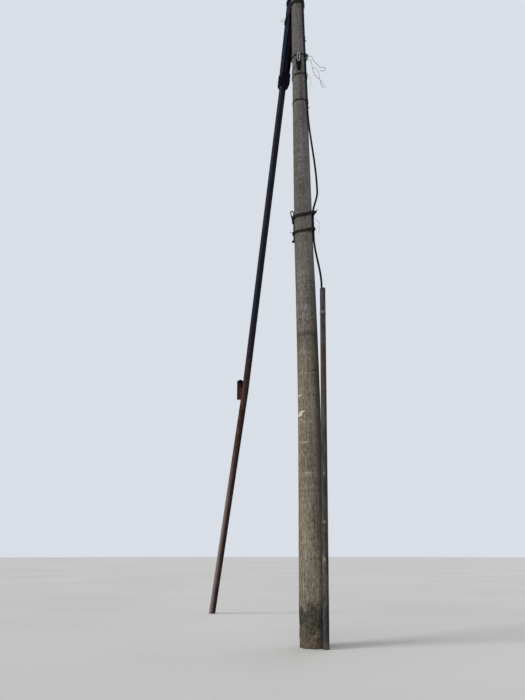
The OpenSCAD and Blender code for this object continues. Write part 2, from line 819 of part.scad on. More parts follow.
// Frame at the hanger: X points out from the pole axis.
module hanger_frame() {
    rotate([0, 0, hanger_az])
        children();
}
hang_wire_reach = pole_r(hanger_wire_z - hanger_wire_d / 2) + seat + hanger_wire_d / 2;
hook_in_r = hanger_wire_d / 2 + seat * 2;
clamp_top_z = hanger_wire_z - hang_gap;
clamp_back = pole_r(clamp_top_z - clamp_len) + seat;
pin_drop = 22;
strap_end = 13;
pin_z = clamp_top_z - pin_drop;
strap_low_z = pin_z - strap_end;

// Two-legged strap folded over the hanger wire, with an eye for the pin at its lower end.
module hanger_strap() {
    fold = 125;
    window_low_z = clamp_top_z - hanger_pin_d / 2;
    window_high_z = hanger_wire_z - hanger_wire_d;
    color([0.50, 0.50, 0.50])
        hanger_frame()
            difference() {
                union() {
                    translate([hang_wire_reach, bail_w / 2, hanger_wire_z])
                        rotate([90, 0, 0])
                            rotate_extrude(angle = fold)
                                translate([hook_in_r, 0])
                                    square([bail_t, bail_w]);
                    translate([hang_wire_reach + hook_in_r, -bail_w / 2, strap_low_z])
                        cube([bail_t, bail_w, hanger_wire_z - strap_low_z]);
                }
                translate([hang_wire_reach, bail_leg - bail_w / 2, window_low_z])
                    cube([hook_in_r * 3, bail_w - bail_leg * 2, window_high_z - window_low_z]);
                translate([hang_wire_reach + hook_in_r - 1, 0, pin_z])
                    rotate([0, 90, 0])
                        cylinder(h = bail_t + 2, d = hanger_pin_d + hole_clear * 2);
            }
}

// Wedge-shaped clamp body with a slot for the strap.
module hanger_clamp() {
    shoulder = 13;
    toe = 18;
    color([0.06, 0.06, 0.07])
        hanger_frame()
            difference() {
                translate([clamp_back, 0, clamp_top_z])
                    rotate([0, 90, 0])
                        linear_extrude(clamp_t)
                            taut_shape([[shoulder, -clamp_w / 2 + shoulder, shoulder],
                                [clamp_len - toe, 0, toe],
                                [shoulder, clamp_w / 2 - shoulder, shoulder]]);
                translate([hang_wire_reach + hook_in_r - seat, -bail_w / 2 - seat * 2,
                    strap_low_z - 2])
                    cube([big, bail_w + seat * 4, big]);
                translate([clamp_back - 1, 0, pin_z])
                    rotate([0, 90, 0])
                        cylinder(h = clamp_t, d = hanger_pin_d + hole_clear * 2);
            }
}

// Bolt through the strap eye into the clamp body.
module hanger_pin() {
    face = hang_wire_reach + hook_in_r + bail_t;
    color([0.35, 0.34, 0.33])
        hanger_frame() {
            translate([clamp_back + 4, 0, pin_z])
                rotate([0, 90, 0])
                    cylinder(h = face + seat + 1 - clamp_back - 4, d = hanger_pin_d);
            translate([face + seat, 0, pin_z])
                rotate([0, 90, 0])
                    cylinder(h = 6, d = hanger_pin_d * 1.7, $fn = 6);
        }
}

// Flat strap drawn tight round the pole and the cable.
module strap_outline(reach) {
    low = strap_z - strap_w / 2;
    taut_shape([round_pole(low, reach), round_cable(low, cable_az(strap_z), reach)]);
}

module steel_strap() {
    color([0.16, 0.14, 0.13])
        translate([0, 0, strap_z - strap_w / 2])
            linear_extrude(strap_w)
                difference() {
                    strap_outline(strap_t);
                    strap_outline(0);
                }
}

// Frame of one hook: X points out of the pole at its height, with 0 on the pole surface.
module hook_frame(i) {
    rotate([0, 0, hook_az(i)])
        translate([pole_r(hook_z(i)), 0, hook_z(i)])
            children();
}
pin_top = ins_h * 0.62;
ins_lift = 12;

// Swan-neck hook: a shank in the pole, a quarter bend and an upright pin.
module insulator_hook(i) {
    color([0.25, 0.21, 0.19])
        hook_frame(i) {
            translate([-hook_depth, 0, 0])
                rotate([0, 90, 0])
                    cylinder(h = hook_depth + hook_reach - hook_bend, d = hook_d);
            translate([hook_reach - hook_bend, 0, hook_bend])
                rotate([90, 0, 0])
                    rotate([0, 0, -90])
                        rotate_extrude(angle = 90)
                            translate([hook_bend, 0])
                                circle(d = hook_d);
            translate([hook_reach, 0, hook_bend])
                cylinder(h = ins_lift + pin_top - seat, d = hook_d);
        }
}

// Porcelain insulator: hollow skirt, waist, wire groove and crowned head.
module insulator(i) {
    skirt = ins_d / 2;
    neck = ins_neck_d / 2;
    head = neck + 9;
    bore = hook_d / 2 + hole_clear;
    groove_z = ins_h * 0.70;
    color([0.88, 0.87, 0.82])
        hook_frame(i)
            translate([hook_reach, 0, hook_bend + ins_lift])
                difference() {
                    union() {
                        cylinder(h = 7, r1 = skirt - 2, r2 = skirt);
                        translate([0, 0, 7])
                            cylinder(h = ins_h * 0.32 - 7, r1 = skirt, r2 = head + 1);
                        translate([0, 0, ins_h * 0.32])
                            cylinder(h = groove_z - ins_h * 0.32 + 10, r = head + 1);
                        translate([0, 0, groove_z + 10])
                            cylinder(h = ins_h - groove_z - 18, r = head);
                        translate([0, 0, ins_h - 8])
                            cylinder(h = 8, r1 = head, r2 = head - 9);
                    }
                    translate([0, 0, groove_z])
                        rotate_extrude()
                            translate([neck + 12, 0])
                                circle(12);
                    translate([0, 0, -1])
                        cylinder(h = pin_top + 1, r = bore);
                    translate([0, 0, -1])
                        cylinder(h = ins_h * 0.25, r1 = skirt - 8, r2 = bore + 4);
                }
}

module insulator_hook_1() {
    insulator_hook(0);
}

module insulator_hook_2() {
    insulator_hook(1);
}

module insulator_hook_3() {
    insulator_hook(2);
}

module insulator_hook_4() {
    insulator_hook(3);
}

module insulator_1() {
    insulator(0);
}

module insulator_2() {
    insulator(1);
}

module insulator_3() {
    insulator(2);
}

module insulator_4() {
    insulator(3);
}

pole_shaft();
brace_lower_pipe();
brace_upper_pipe();
brace_side_plate();
brace_side_socket();
brace_head_channel();
brace_head_collar();
brace_head_lashing_low();
brace_head_lashing_high();
conduit_lower_pipe();
conduit_coupling();
conduit_upper_pipe();
service_cable();
cable_end_boot();
cable_clip_low();
cable_clip_mid();
cable_clip_high();
lashing_upper_wrap();
lashing_lower_wrap();
lashing_bent_bar();
lashing_bar_knob();
hanger_wire();
guard_wire();
hanger_strap();
hanger_clamp();
hanger_pin();
steel_strap();
insulator_hook_1();
insulator_hook_2();
insulator_hook_3();
insulator_hook_4();
insulator_1();
insulator_2();
insulator_3();
insulator_4();
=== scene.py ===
"""Looks for the wooden utility pole: camera, light, stage, materials and every piece that shows."""
import math

import bmesh
import bpy
import numpy as np
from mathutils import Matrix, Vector


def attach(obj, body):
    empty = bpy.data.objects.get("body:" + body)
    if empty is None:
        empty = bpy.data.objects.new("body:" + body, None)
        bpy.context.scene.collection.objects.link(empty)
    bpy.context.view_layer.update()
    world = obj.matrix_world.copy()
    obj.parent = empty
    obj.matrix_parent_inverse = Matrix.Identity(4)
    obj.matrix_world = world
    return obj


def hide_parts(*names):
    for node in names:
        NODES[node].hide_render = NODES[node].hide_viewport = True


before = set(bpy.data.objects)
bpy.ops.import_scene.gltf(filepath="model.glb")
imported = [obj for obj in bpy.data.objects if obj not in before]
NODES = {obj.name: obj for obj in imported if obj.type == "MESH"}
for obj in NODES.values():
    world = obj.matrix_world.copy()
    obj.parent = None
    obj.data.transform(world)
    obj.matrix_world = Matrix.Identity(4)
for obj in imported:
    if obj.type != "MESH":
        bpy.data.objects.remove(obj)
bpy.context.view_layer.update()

SCENE = bpy.context.scene
SCENE.view_settings.view_transform = "Standard"
RNG = np.random.default_rng(41)
TAU = math.tau
UP = (0, 0, 1)

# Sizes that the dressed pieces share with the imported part, in metres. Directions (AZ) are degrees from +X.
SEAT = 0.0003
POLE_H = 7.45
SWELL_H = 1.1
WAIST_D = 0.206
BUTT_R = 0.12
TOP_SLOPE = math.radians(14)
BRACE_R = 0.038
BRACE_AZ = 111
FOOT_REACH = 2.757
KINK_REACH = 1.653
KINK_H = 2.47
UPPER_LEAN = math.radians(19.7006)
LOWER_LEAN = math.atan2(FOOT_REACH - KINK_REACH, KINK_H)
PIPE_END_H = 6.64
CHANNEL_LEAN = UPPER_LEAN - math.radians(3)
CHANNEL_LOW = 5.758
CHANNEL_HALF = 0.044
CHANNEL_BACK = 0.0438
CHANNEL_CORNER = 0.01
COLLAR_FRONT = -0.0804
SOCKET_AT = (-0.649046, 1.62355, 2.572)
CABLE_R = 0.01
CABLE_OUT = CABLE_R + SEAT * 2
CLIP_AZ = -40
LASH_AZ = -19
BAR_R = 0.006
BAR_AZ = 192
BAR_OUT = BAR_R + SEAT * 2
HANGER_Z = 5.81
HANGER_AZ = 262
STRAP_Z = 5.208
CONDUIT_R = 0.0255
CONDUIT_BORE = 0.0225
CONDUIT_H = 3.02
COUPLING_Z = 2.774
COUPLING_HALF = 0.015


# Shape of the pole and its neighbours
def shaft_r(z):
    if z < SWELL_H:
        return (WAIST_D + 0.034 * (1 - z / SWELL_H) ** 1.7) / 2
    return (WAIST_D - 0.078 * ((z - SWELL_H) / (POLE_H - SWELL_H)) ** 1.25) / 2


OUTLINE_Z = [i * SWELL_H / 5 for i in range(5)] + [SWELL_H + i * (POLE_H - SWELL_H) / 12 for i in range(13)]
OUTLINE_R = [shaft_r(z) for z in OUTLINE_Z]


def pole_r(z):
    return np.interp(z, OUTLINE_Z, OUTLINE_R)


def polar(r, az, z=0.0):
    return np.array([r * math.cos(math.radians(az)), r * math.sin(math.radians(az)), z])


def beside(out, side, az, z):
    """Point some way out in a direction, and some way to the left of that line."""
    return polar(out, az, z) + polar(side, az + 90)


def on_pole(z, az, out=0.0):
    """Point at a height and a direction, some way out from the pole's surface."""
    return polar(pole_r(z) + out, az, z)


def cable_az(z):
    return float(np.interp(z, [5.17, 6.745], [CLIP_AZ, -56]))


def brace_reach(z):
    return KINK_REACH - (z - KINK_H) * math.tan(UPPER_LEAN)


def on_brace(reach, side, z):
    """Point by its reach from the pole's axis in the brace's plane, and its distance to the left of it."""
    return beside(reach, side, BRACE_AZ, z)


def on_channel(out, side, up):
    """Point in the frame of the head channel, which starts on the pipe's axis at its lower end."""
    c, s = math.cos(CHANNEL_LEAN), math.sin(CHANNEL_LEAN)
    return on_brace(brace_reach(CHANNEL_LOW) + out * c - up * s, side, CHANNEL_LOW + out * s + up * c)


def conduit_at(z):
    return polar(BUTT_R + CONDUIT_R + SEAT, -55) + polar(math.tan(math.radians(1.45)), 16.5, 1) * z


def tangent_az(a, b):
    run = math.hypot(b[0] - a[0], b[1] - a[1])
    return math.atan2(b[1] - a[1], b[0] - a[0]) - math.acos((a[2] - b[2]) / run)


def taut(circles, stride=5):
    """Flat line drawn tight round several circles (x, y, radius), given anticlockwise."""
    out = []
    for i, c in enumerate(circles):
        a = tangent_az(circles[i - 1], c)
        sweep = (tangent_az(c, circles[(i + 1) % len(circles)]) - a + 2 * TAU) % TAU
        m = max(2, math.ceil(math.degrees(sweep) / stride))
        turn = [a + sweep * k / m for k in range(m + 1)]
        out.extend((c[0] + c[2] * math.cos(q), c[1] + c[2] * math.sin(q)) for q in turn)
    return np.array(out)


def round_pole(z, reach):
    return (0, 0, pole_r(z) + SEAT + reach)


def round_cable(z, az, reach):
    at = on_pole(z, az, CABLE_OUT)
    return (at[0], at[1], CABLE_R + SEAT * 2 + reach)


def wire_circles(z, d):
    return [round_pole(z - d / 2, d / 2), round_cable(z, cable_az(z), d / 2)]


def strap_circles(z, d):
    return [round_pole(z - 0.008, d / 2), round_cable(z, cable_az(z), d / 2)]


def lash_circles(z, d):
    bar = on_pole(z, BAR_AZ, BAR_OUT)
    pole = round_pole(z - d / 2, d / 2)
    return [round_cable(z, LASH_AZ, d / 2), pole, (bar[0], bar[1], BAR_OUT + d / 2), pole]


def head_circles(z, d):
    gap = d / 2 / math.cos(CHANNEL_LEAN) + SEAT
    low = z - d / 2
    back = brace_reach(CHANNEL_LOW) - (low - CHANNEL_LOW) * math.tan(CHANNEL_LEAN) \
        + CHANNEL_BACK / math.cos(CHANNEL_LEAN) - CHANNEL_CORNER
    corners = [on_brace(back, s * (CHANNEL_HALF - CHANNEL_CORNER), z) for s in (-1, 1)]
    pole = round_pole(low, d / 2)
    return [round_cable(z, cable_az(z), d / 2), pole,
            *((q[0], q[1], CHANNEL_CORNER + gap) for q in corners), pole]


# Numbers
def mm(*points):
    """Points given in millimetres."""
    return np.array(points, float) / 1000


def spread(x, y=0, z=0):
    """Points from three rows of numbers, where one number stands for a whole row."""
    return np.stack(np.broadcast_arrays(x, y, z), 1).astype(float)


def circle(a, r=1.0, z=0.0):
    """Points at some angles round the vertical axis."""
    return spread(r * np.cos(a), r * np.sin(a), z)


def lattice(p, seed=0):
    """Smooth random values from -1 to 1 at points p, the same on every run."""
    p = np.asarray(p, float)
    i = np.floor(p).astype(np.int64)
    f = p - i
    f = f * f * (3 - 2 * f)
    total = 0
    for corner in np.ndindex(2, 2, 2):
        q = (i + corner) * (73856093, 19349663, 83492791)
        n = (q[:, 0] ^ q[:, 1] ^ q[:, 2] ^ (seed * 7919 + 12345)) & 0x7FFFFFFF
        for shift, prime in ((13, 1274126177), (15, 668265263)):
            n = ((n ^ (n >> shift)) * prime) & 0x7FFFFFFF
        total = total + np.prod(np.where(corner, f, 1 - f), axis=1) * ((n >> 8) % 4096 / 2047.5 - 1)
    return total


def layers(p, seed=0, octaves=3):
    return sum(lattice(np.asarray(p) * 2 ** k, seed + k) / 2 ** k for k in range(octaves)) / 1.7


def step(x, lo, hi):
    t = np.clip((x - lo) / (hi - lo), 0, 1)
    return t * t * (3 - 2 * t)


def apart(a, b, full=TAU):
    """Angle between two directions, in units where a full turn is as given."""
    return np.abs((np.asarray(a) - b + full / 2) % full - full / 2)


def drift(az, centre, width):
    """1 at a direction, falling to 0 at width degrees either side of it."""
    return 1 - step(apart(az, centre, 360), 0, width)


def directions(p):
    return np.degrees(np.arctan2(p[:, 1], p[:, 0])) % 360


def run(p):
    """Length of a line of points up to each point."""
    return np.concatenate([[0], np.cumsum(np.linalg.norm(np.diff(p, axis=0), axis=1))])


def resample(points, gap, closed=False):
    """Evenly spaced points along a line of points."""
    p = np.asarray(points, float)
    if closed:
        p = np.vstack([p, p[:1]])
    s = run(p)
    t = np.linspace(0, s[-1], max(int(round(s[-1] / gap)), 3) + 1)
    if closed:
        t = t[:-1]
    return np.stack([np.interp(t, s, p[:, k]) for k in range(3)], 1)


def curve(points, gap):
    """Smooth line through a few points."""
    p = np.asarray(points, float)
    q = np.vstack([2 * p[0] - p[1], p, 2 * p[-1] - p[-2]])
    out = []
    for a, b, c, d in zip(q, q[1:], q[2:], q[3:]):
        for t in np.linspace(0, 1, 12, endpoint=False):
            out.append(0.5 * (2 * b + (c - a) * t + (2 * a - 5 * b + 4 * c - d) * t * t
                              + (3 * b - a - 3 * c + d) * t ** 3))
    return resample(out + [p[-1]], gap)


# Meshes
def piece(name, shape, look, replaces=(), sharp=60, attributes=None):
    """New object on the part's one body. Shape is (points, faces), and edges over sharp degrees stay hard."""
    mesh = bpy.data.meshes.new(name)
    mesh.from_pydata([tuple(v) for v in shape[0]], [], shape[1])
    mesh.validate()
    mesh.update()
    for key, values in (attributes or {}).items():
        mesh.attributes.new(key, "FLOAT", "POINT").data.foreach_set("value", np.asarray(values, np.float32))
    obj = bpy.data.objects.new(name, mesh)
    SCENE.collection.objects.link(obj)
    mesh.materials.append(LOOKS[look][0])
    for p in mesh.polygons:
        p.use_smooth = True
    mesh.set_sharp_from_angle(angle=math.radians(sharp))
    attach(obj, "root")
    if replaces:
        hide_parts(*replaces)


def join(parts):
    """One list of points and one of faces from several."""
    verts, faces = [], []
    for v, f in parts:
        n = len(verts)
        verts.extend(map(tuple, v))
        faces.extend([tuple(i + n for i in face) for face in f])
    return verts, faces


def axes(path, closed=False, ref=None):
    """Direction of a path at each point, and two directions square to it."""
    p = np.asarray(path, float)
    t = np.roll(p, -1, 0) - np.roll(p, 1, 0) if closed else np.gradient(p, axis=0)
    t /= np.linalg.norm(t, axis=1)[:, None]
    if ref is not None:
        u = np.cross(np.broadcast_to(ref, t.shape), t)
        u /= np.linalg.norm(u, axis=1)[:, None]
        return t, u, np.cross(t, u)
    u = np.zeros_like(t)
    u[0] = np.cross(UP if abs(t[0][2]) < 0.8 else (1, 0, 0), t[0])
    u[0] /= np.linalg.norm(u[0])
    for i in range(1, len(t)):
        v = u[i - 1] - t[i] * np.dot(u[i - 1], t[i])
        u[i] = v / np.linalg.norm(v)
    return t, u, np.cross(t, u)


def grid(rows, sides, closed=False, caps=True):
    """Faces between rings of points. The end rings are joined to each other, or filled, or left open."""
    faces = []
    for i in range(rows if closed else rows - 1):
        a, b = i * sides, (i + 1) % rows * sides
        for k in range(sides):
            m = (k + 1) % sides
            faces.append((a + k, a + m, b + m, b + k))
    if caps and not closed:
        faces += [tuple(range(sides - 1, -1, -1)), tuple((rows - 1) * sides + k for k in range(sides))]
    return faces


def ring_angles(sides):
    return np.arange(sides) * TAU / sides


def tube(path, radius, sides=10, closed=False):
    """Round bar along a path. The radius is one number, or one for each point."""
    _, u, v = axes(path, closed)
    a = ring_angles(sides)[:, None]
    r = np.broadcast_to(np.reshape(radius, (-1, 1, 1)), (len(path), 1, 1))
    rings = np.asarray(path)[:, None] + r * (np.cos(a) * u[:, None] + np.sin(a) * v[:, None])
    return rings.reshape(-1, 3), grid(len(path), sides, closed)


def twisted(path, wire_r, strands, lay, closed=True, phase=0.0):
    """Wires laid round each other along a path, one turn in each length of lay."""
    p = np.asarray(path, float)
    _, u, v = axes(p, closed, UP if closed else None)
    s = run(np.vstack([p, p[:1]]) if closed else p)
    turns = round(s[-1] / lay) if closed else s[-1] / lay
    a = s[:len(p)] / s[-1] * turns * TAU
    off = wire_r / math.sin(math.pi / strands)
    parts = []
    for k in range(strands):
        b = (a + k * TAU / strands + phase)[:, None]
        parts.append(tube(p + off * (np.cos(b) * u + np.sin(b) * v), wire_r, 8, closed))
    return join(parts)


def lathe(profile, centre=(0, 0, 0), axis=UP, sides=64):
    """Turned shape: profile is a list of (radius, height) from one end to the other."""
    turn = Vector(UP).rotation_difference(Vector(axis).normalized()).to_matrix()
    verts = [turn @ Vector((r * math.cos(a), r * math.sin(a), h)) + Vector(centre)
             for r, h in profile for a in ring_angles(sides)]
    return verts, grid(len(profile), sides)


def dressed(node, look, bevel, rough=0.0, cuts=0, seed=0, grain=30, extra=(), name=None):
    """Copy of a CAD node with rounded edges and an uneven surface, which then stands for the node. Cuts is
    the longest edge that is left, and extra holds small shapes that ride on it."""
    bm = bmesh.new()
    bm.from_mesh(NODES[node].data)
    bmesh.ops.remove_doubles(bm, verts=bm.verts, dist=1e-6)
    bmesh.ops.dissolve_limit(bm, angle_limit=math.radians(1), verts=bm.verts, edges=bm.edges)
    edges = [e for e in bm.edges if len(e.link_faces) == 2 and e.calc_face_angle(0) > math.radians(32)]
    bmesh.ops.bevel(bm, geom=edges, offset=bevel, offset_type="OFFSET", segments=2, profile=0.6,
                    affect="EDGES", clamp_overlap=True)
    if cuts:
        bmesh.ops.triangulate(bm, faces=bm.faces)
        for _ in range(6):
            long = [e for e in bm.edges if e.calc_length() > cuts]
            if not long:
                break
            bmesh.ops.subdivide_edges(bm, edges=long, cuts=1, use_grid_fill=True)
            bmesh.ops.triangulate(bm, faces=[f for f in bm.faces if len(f.verts) > 3])
    bm.normal_update()
    if rough:
        p = np.array([v.co for v in bm.verts])
        push = layers(p * grain, seed, 3) * rough
        normals = np.array([v.normal for v in bm.verts])
        for v, q in zip(bm.verts, p + normals * np.minimum(push, 0.35 * rough)[:, None]):
            v.co = q
    verts = [tuple(v.co) for v in bm.verts]
    bm.verts.index_update()
    faces = [tuple(v.index for v in f.verts) for f in bm.faces]
    bm.free()
    piece(name or "dressed_" + node, join([(verts, faces), *extra]), look, (node,), 40)


# Materials
def lin(colour):
    """Linear colour from one written as in a picture, 0 to 255. One of four numbers is linear already."""
    if len(colour) == 4:
        return colour
    return tuple(c / 12.92 if c <= 0.04045 else ((c + 0.055) / 1.055) ** 2.4
                 for c in (q / 255 for q in colour)) + (1,)


def feed(tree, node, values):
    """Set or link inputs of a node, by number or name."""
    for key, value in values.items():
        if isinstance(value, Value):
            value = value.socket
        if isinstance(value, bpy.types.NodeSocket):
            tree.links.new(value, node.inputs[key])
        else:
            node.inputs[key].default_value = value


def new_node(tree, kind, values=(), **settings):
    node = tree.nodes.new(kind)
    for key, value in settings.items():
        setattr(node, key, value)
    feed(tree, node, values if isinstance(values, dict) else dict(enumerate(values)))
    return node


class Value:
    """Number that a material works out at each point. It is added and multiplied like any other."""

    def __init__(self, shade, socket):
        self.shade, self.socket = shade, socket

    def maths(self, kind, other):
        return self.shade.value("ShaderNodeMath", [self, other], operation=kind)

    def __add__(self, other):
        return self.maths("ADD", other)

    def __sub__(self, other):
        return self.maths("SUBTRACT", other)

    def __mul__(self, other):
        return self.maths("MULTIPLY", other)


class Shade:
    """Short hand for one procedural material."""

    def __init__(self, name, metallic=0.0, specular=0.5):
        self.mat = bpy.data.materials.new(name)
        self.mat.use_nodes = True
        self.tree = self.mat.node_tree
        self.tree.nodes.clear()
        gloss = {"Metallic": metallic, "Specular IOR Level": specular}
        self.shader = self.node("ShaderNodeBsdfPrincipled", gloss)
        self.node("ShaderNodeOutputMaterial", [self.shader.outputs[0]])
        self.place = self.node("ShaderNodeTexCoord").outputs["Object"]
        split = self.node("ShaderNodeSeparateXYZ", [self.place])
        self.x, self.y, self.z = (Value(self, q) for q in split.outputs)

    def node(self, kind, values=(), **settings):
        return new_node(self.tree, kind, values, **settings)

    def value(self, kind, values=(), output=0, **settings):
        return Value(self, self.node(kind, values, **settings).outputs[output])

    def scaled(self, scale, seed):
        scale = scale if isinstance(scale, tuple) else (scale,) * 3
        shift = (seed * 3.7, seed * 1.3, seed * 2.1)
        return self.node("ShaderNodeMapping", {0: self.place, 1: shift, 3: scale}).outputs[0]

    def noise(self, scale, detail=3.0, rough=0.55, seed=0.0, twist=0.0):
        return self.value("ShaderNodeTexNoise", {0: self.scaled(scale, seed), 2: 1.0, 3: detail, 4: rough,
                                                 "Distortion": twist})

    def cells(self, scale, seed):
        return self.value("ShaderNodeTexVoronoi", {0: self.scaled(scale, seed), "Scale": 1.0}, "Distance")

    def ramp(self, fac, *stops):
        n = self.node("ShaderNodeValToRGB", [fac])
        while len(n.color_ramp.elements) < len(stops):
            n.color_ramp.elements.new(0.5)
        for e, (at, colour) in zip(n.color_ramp.elements, stops):
            e.position, e.color = at, lin(colour)
        return n.outputs[0]

    def mix(self, fac, a, b):
        a, b = (lin(q) if isinstance(q, tuple) else q for q in (a, b))
        return self.node("ShaderNodeMix", {0: fac, 6: a, 7: b}, data_type="RGBA").outputs[2]

    def lay(self, share, tone):
        """Mix a tone into the colour that the surface has so far."""
        self.colour = self.mix(share, self.colour, tone)

    def fade(self, value, lo, hi, to_lo=0.0, to_hi=1.0):
        """Smooth step of a value from lo to hi; lo may be the larger."""
        if lo > hi:
            lo, hi, to_lo, to_hi = hi, lo, to_hi, to_lo
        return self.value("ShaderNodeMapRange", [value, lo, hi, to_lo, to_hi], interpolation_type="SMOOTHSTEP")

    def band(self, lo, hi, soft, wander=0.0):
        """1 between two heights, with soft or uneven edges."""
        z = self.z + wander
        return self.fade(z, lo - soft, lo + soft) * self.fade(z, hi + soft, hi - soft)

    def spot(self, centre, size, wander, edge=0.25, tilt=0.0):
        """1 near a point of the surface, with an uneven edge. Size is the half extent each way, and tilt
        turns it so that it rises to the right."""
        t = math.radians(tilt)
        turned = self.node("ShaderNodeMapping", {0: self.place, 2: (0, t, 0)}).outputs[0]
        x, y, z = centre
        middle = (x * math.cos(t) + z * math.sin(t), y, z * math.cos(t) - x * math.sin(t))
        at = self.node("ShaderNodeMapping", {0: turned, 1: tuple(-c / k for c, k in zip(middle, size)),
                                             3: tuple(1 / k for k in size)}).outputs[0]
        far = self.value("ShaderNodeVectorMath", [at], "Value", operation="LENGTH")
        return self.fade(far + wander, 1 + edge, 1 - edge)

    def attribute(self, name):
        return self.value("ShaderNodeAttribute", (), "Fac", attribute_name=name)

    def edges(self, lo, hi):
        """1 along outer edges of the mesh, or in its hollows where lo is the larger."""
        return self.fade(self.value("ShaderNodeNewGeometry", (), "Pointiness"), lo, hi)

    def finish(self, roughness, height=None, depth=0.001, strength=0.6):
        feed(self.tree, self.shader, {"Base Color": self.colour, "Roughness": roughness})
        if height is not None:
            bump = self.node("ShaderNodeBump", {"Strength": strength, "Distance": depth, "Height": height})
            feed(self.tree, self.shader, {"Normal": bump.outputs[0]})
        return self.mat


# Marks on the front of the pole: x, z, half width, half height, tilt, strength, colour
MARKS = (
    (-0.0765, 2.004, 0.022, 0.0055, 24, 0.85, (208, 206, 200)),
    (-0.067, 1.853, 0.033, 0.0095, 13, 0.9, (204, 200, 190)),
    (-0.079, 1.832, 0.025, 0.015, 8, 0.88, (208, 204, 194)),
    (-0.061, 1.789, 0.005, 0.005, 0, 0.9, (214, 211, 204)),
    (-0.034, 1.588, 0.034, 0.008, 4, 0.36, (176, 171, 160)),
    (-0.018, 1.33, 0.029, 0.0085, -6, 0.36, (176, 171, 160)),
    (-0.004, 3.603, 0.03, 0.012, 0, 0.4, (150, 142, 144)),
    (-0.01, 2.70, 0.012, 0.012, 0, 0.5, (56, 50, 45)),
    (-0.057, 2.722, 0.007, 0.009, 0, 0.8, (44, 39, 36)),
    (0.013, 2.686, 0.007, 0.008, 0, 0.7, (46, 41, 37)),
    (0.03, 2.64, 0.05, 0.03, 0, 0.25, (110, 80, 64)))


def wood_material():
    s = Shade("weathered_wood", specular=0.1)
    speck = s.noise((66, 66, 36), 4, 0.62, 1)
    grit = s.noise((220, 220, 80), 3, 0.6, 2)
    fibre = s.noise((270, 270, 10), 4, 0.62, 3)
    streak = s.noise((46, 46, 2.2), 4, 0.6, 4, 0.3)
    broad = s.noise((9, 9, 1.6), 3, 0.55, 5)
    ring = s.noise((2.5, 2.5, 46), 2, 0.5, 6)
    value = speck * 0.25 + grit * 0.12 + (fibre * 0.27 + streak * 0.16) + (broad * 0.1 + ring * 0.1)
    warm = s.ramp(value, (0.4, (70, 62, 52)), (0.47, (107, 99, 86)), (0.53, (132, 123, 109)),
                  (0.61, (166, 157, 142)))
    cool = s.ramp(value, (0.4, (56, 53, 52)), (0.47, (90, 86, 83)), (0.53, (110, 106, 104)),
                  (0.61, (140, 136, 134)))
    height = s.z + (broad - 0.5) * 1.2
    s.colour = s.mix(s.fade(height, 2.15, 2.9, 0.0, 0.72) + s.fade(height, 2.9, 4.4, 0.0, 0.28), warm, cool)
    # Painted light and shade on the upper pole: its right (+x) side is lightened and its left (-x) side darkened,
    # evening out the light from the left.
    painted_light_upper = s.fade(s.z, 2.9, 3.5)
    s.lay(painted_light_upper * s.fade(s.x, 0.01, 0.055, 0.0, 0.42), (142, 140, 140))
    s.lay(painted_light_upper * s.fade(s.x, -0.01, -0.06, 0.0, 0.3), (84, 82, 80))
    s.lay(s.fade(s.noise((26, 26, 9), 3, 0.6, 7), 0.55, 0.66) * 0.3, (112, 82, 66))
    # Painted shade: the right (+x) side of the lower pole is darkened towards a dark green-brown.
    painted_shade_right = s.fade(s.x + (speck - 0.5) * 0.05, 0.035, 0.115) * s.fade(s.z, 3.7, 2.2, 0.0, 0.78)
    s.lay(painted_shade_right, (46, 45, 37))
    moss = s.fade(s.noise(30, 4, 0.65, 8), 0.48, 0.62) * (s.band(3.52, 3.80, 0.1) * 0.5
                                                          + s.band(2.9, 3.3, 0.1) * 0.16)
    s.lay(moss, (92, 94, 60))
    s.lay(s.fade(s.noise((44, 44, 26), 4, 0.7, 9), 0.54, 0.68) * 0.5, (54, 50, 45))
    dots = s.fade(s.cells((34, 34, 24), 3), 0.2, 0.09) * s.fade(s.noise(5, 2, 0.5, 10), 0.46, 0.56)
    s.lay(dots * 0.7, (42, 36, 31))
    slit = s.fade(s.cells((85, 85, 9), 4), 0.15, 0.05)
    s.lay(slit * 0.6, (44, 39, 35))
    wander = (s.noise(13, 4, 0.62, 11) - 0.5) * 0.26
    damp = s.ramp(speck * 0.6 + grit * 0.4, (0.42, (36, 35, 31)), (0.6, (84, 80, 69)))
    s.lay(s.band(0.1, 0.30, 0.05, wander) * 0.93, damp)
    rot = s.fade(s.z + wander, 0.17, 0.06)
    bits = s.noise(70, 5, 0.7, 14) * 0.6 + s.noise(240, 3, 0.6, 15) * 0.4
    crumb = s.ramp(bits, (0.42, (32, 28, 23)), (0.5, (76, 68, 57)), (0.58, (132, 120, 102)))
    s.lay(rot * 0.9, crumb)
    s.lay(rot * s.fade(s.noise(60, 2, 0.6, 12), 0.6, 0.68) * 0.6, (104, 62, 46))
    stain = s.band(2.555, 2.6, 0.02, wander * 0.2) * 0.34 + s.band(2.44, 2.6, 0.05, wander) * 0.26
    s.lay(stain * s.fade(s.y, 0.04, -0.04), (52, 44, 38))
    ragged = (s.noise(70, 4, 0.66, 13) - 0.5) * 2.6
    for x, z, w, h, tilt, amount, tone in MARKS:
        y = -math.sqrt(max(pole_r(z) ** 2 - x * x, 0))
        s.lay(s.spot((x, y, z), (w, 0.05, h), ragged, 0.3, tilt) * amount, tone)
    s.lay(s.fade(s.attribute("crack"), 0.1, 0.8) * 0.8, (38, 33, 29))
    s.lay(s.attribute("knot") * 0.72, (50, 42, 36))
    s.lay(s.attribute("dust") * 0.5, (100, 90, 76))
    bump = fibre * 0.9 + streak * 0.5 + (speck * 0.8 + slit * -0.6)
    return s.finish(s.fade(speck, 0.3, 0.7, 0.86, 0.98), bump, 0.004, 0.9)


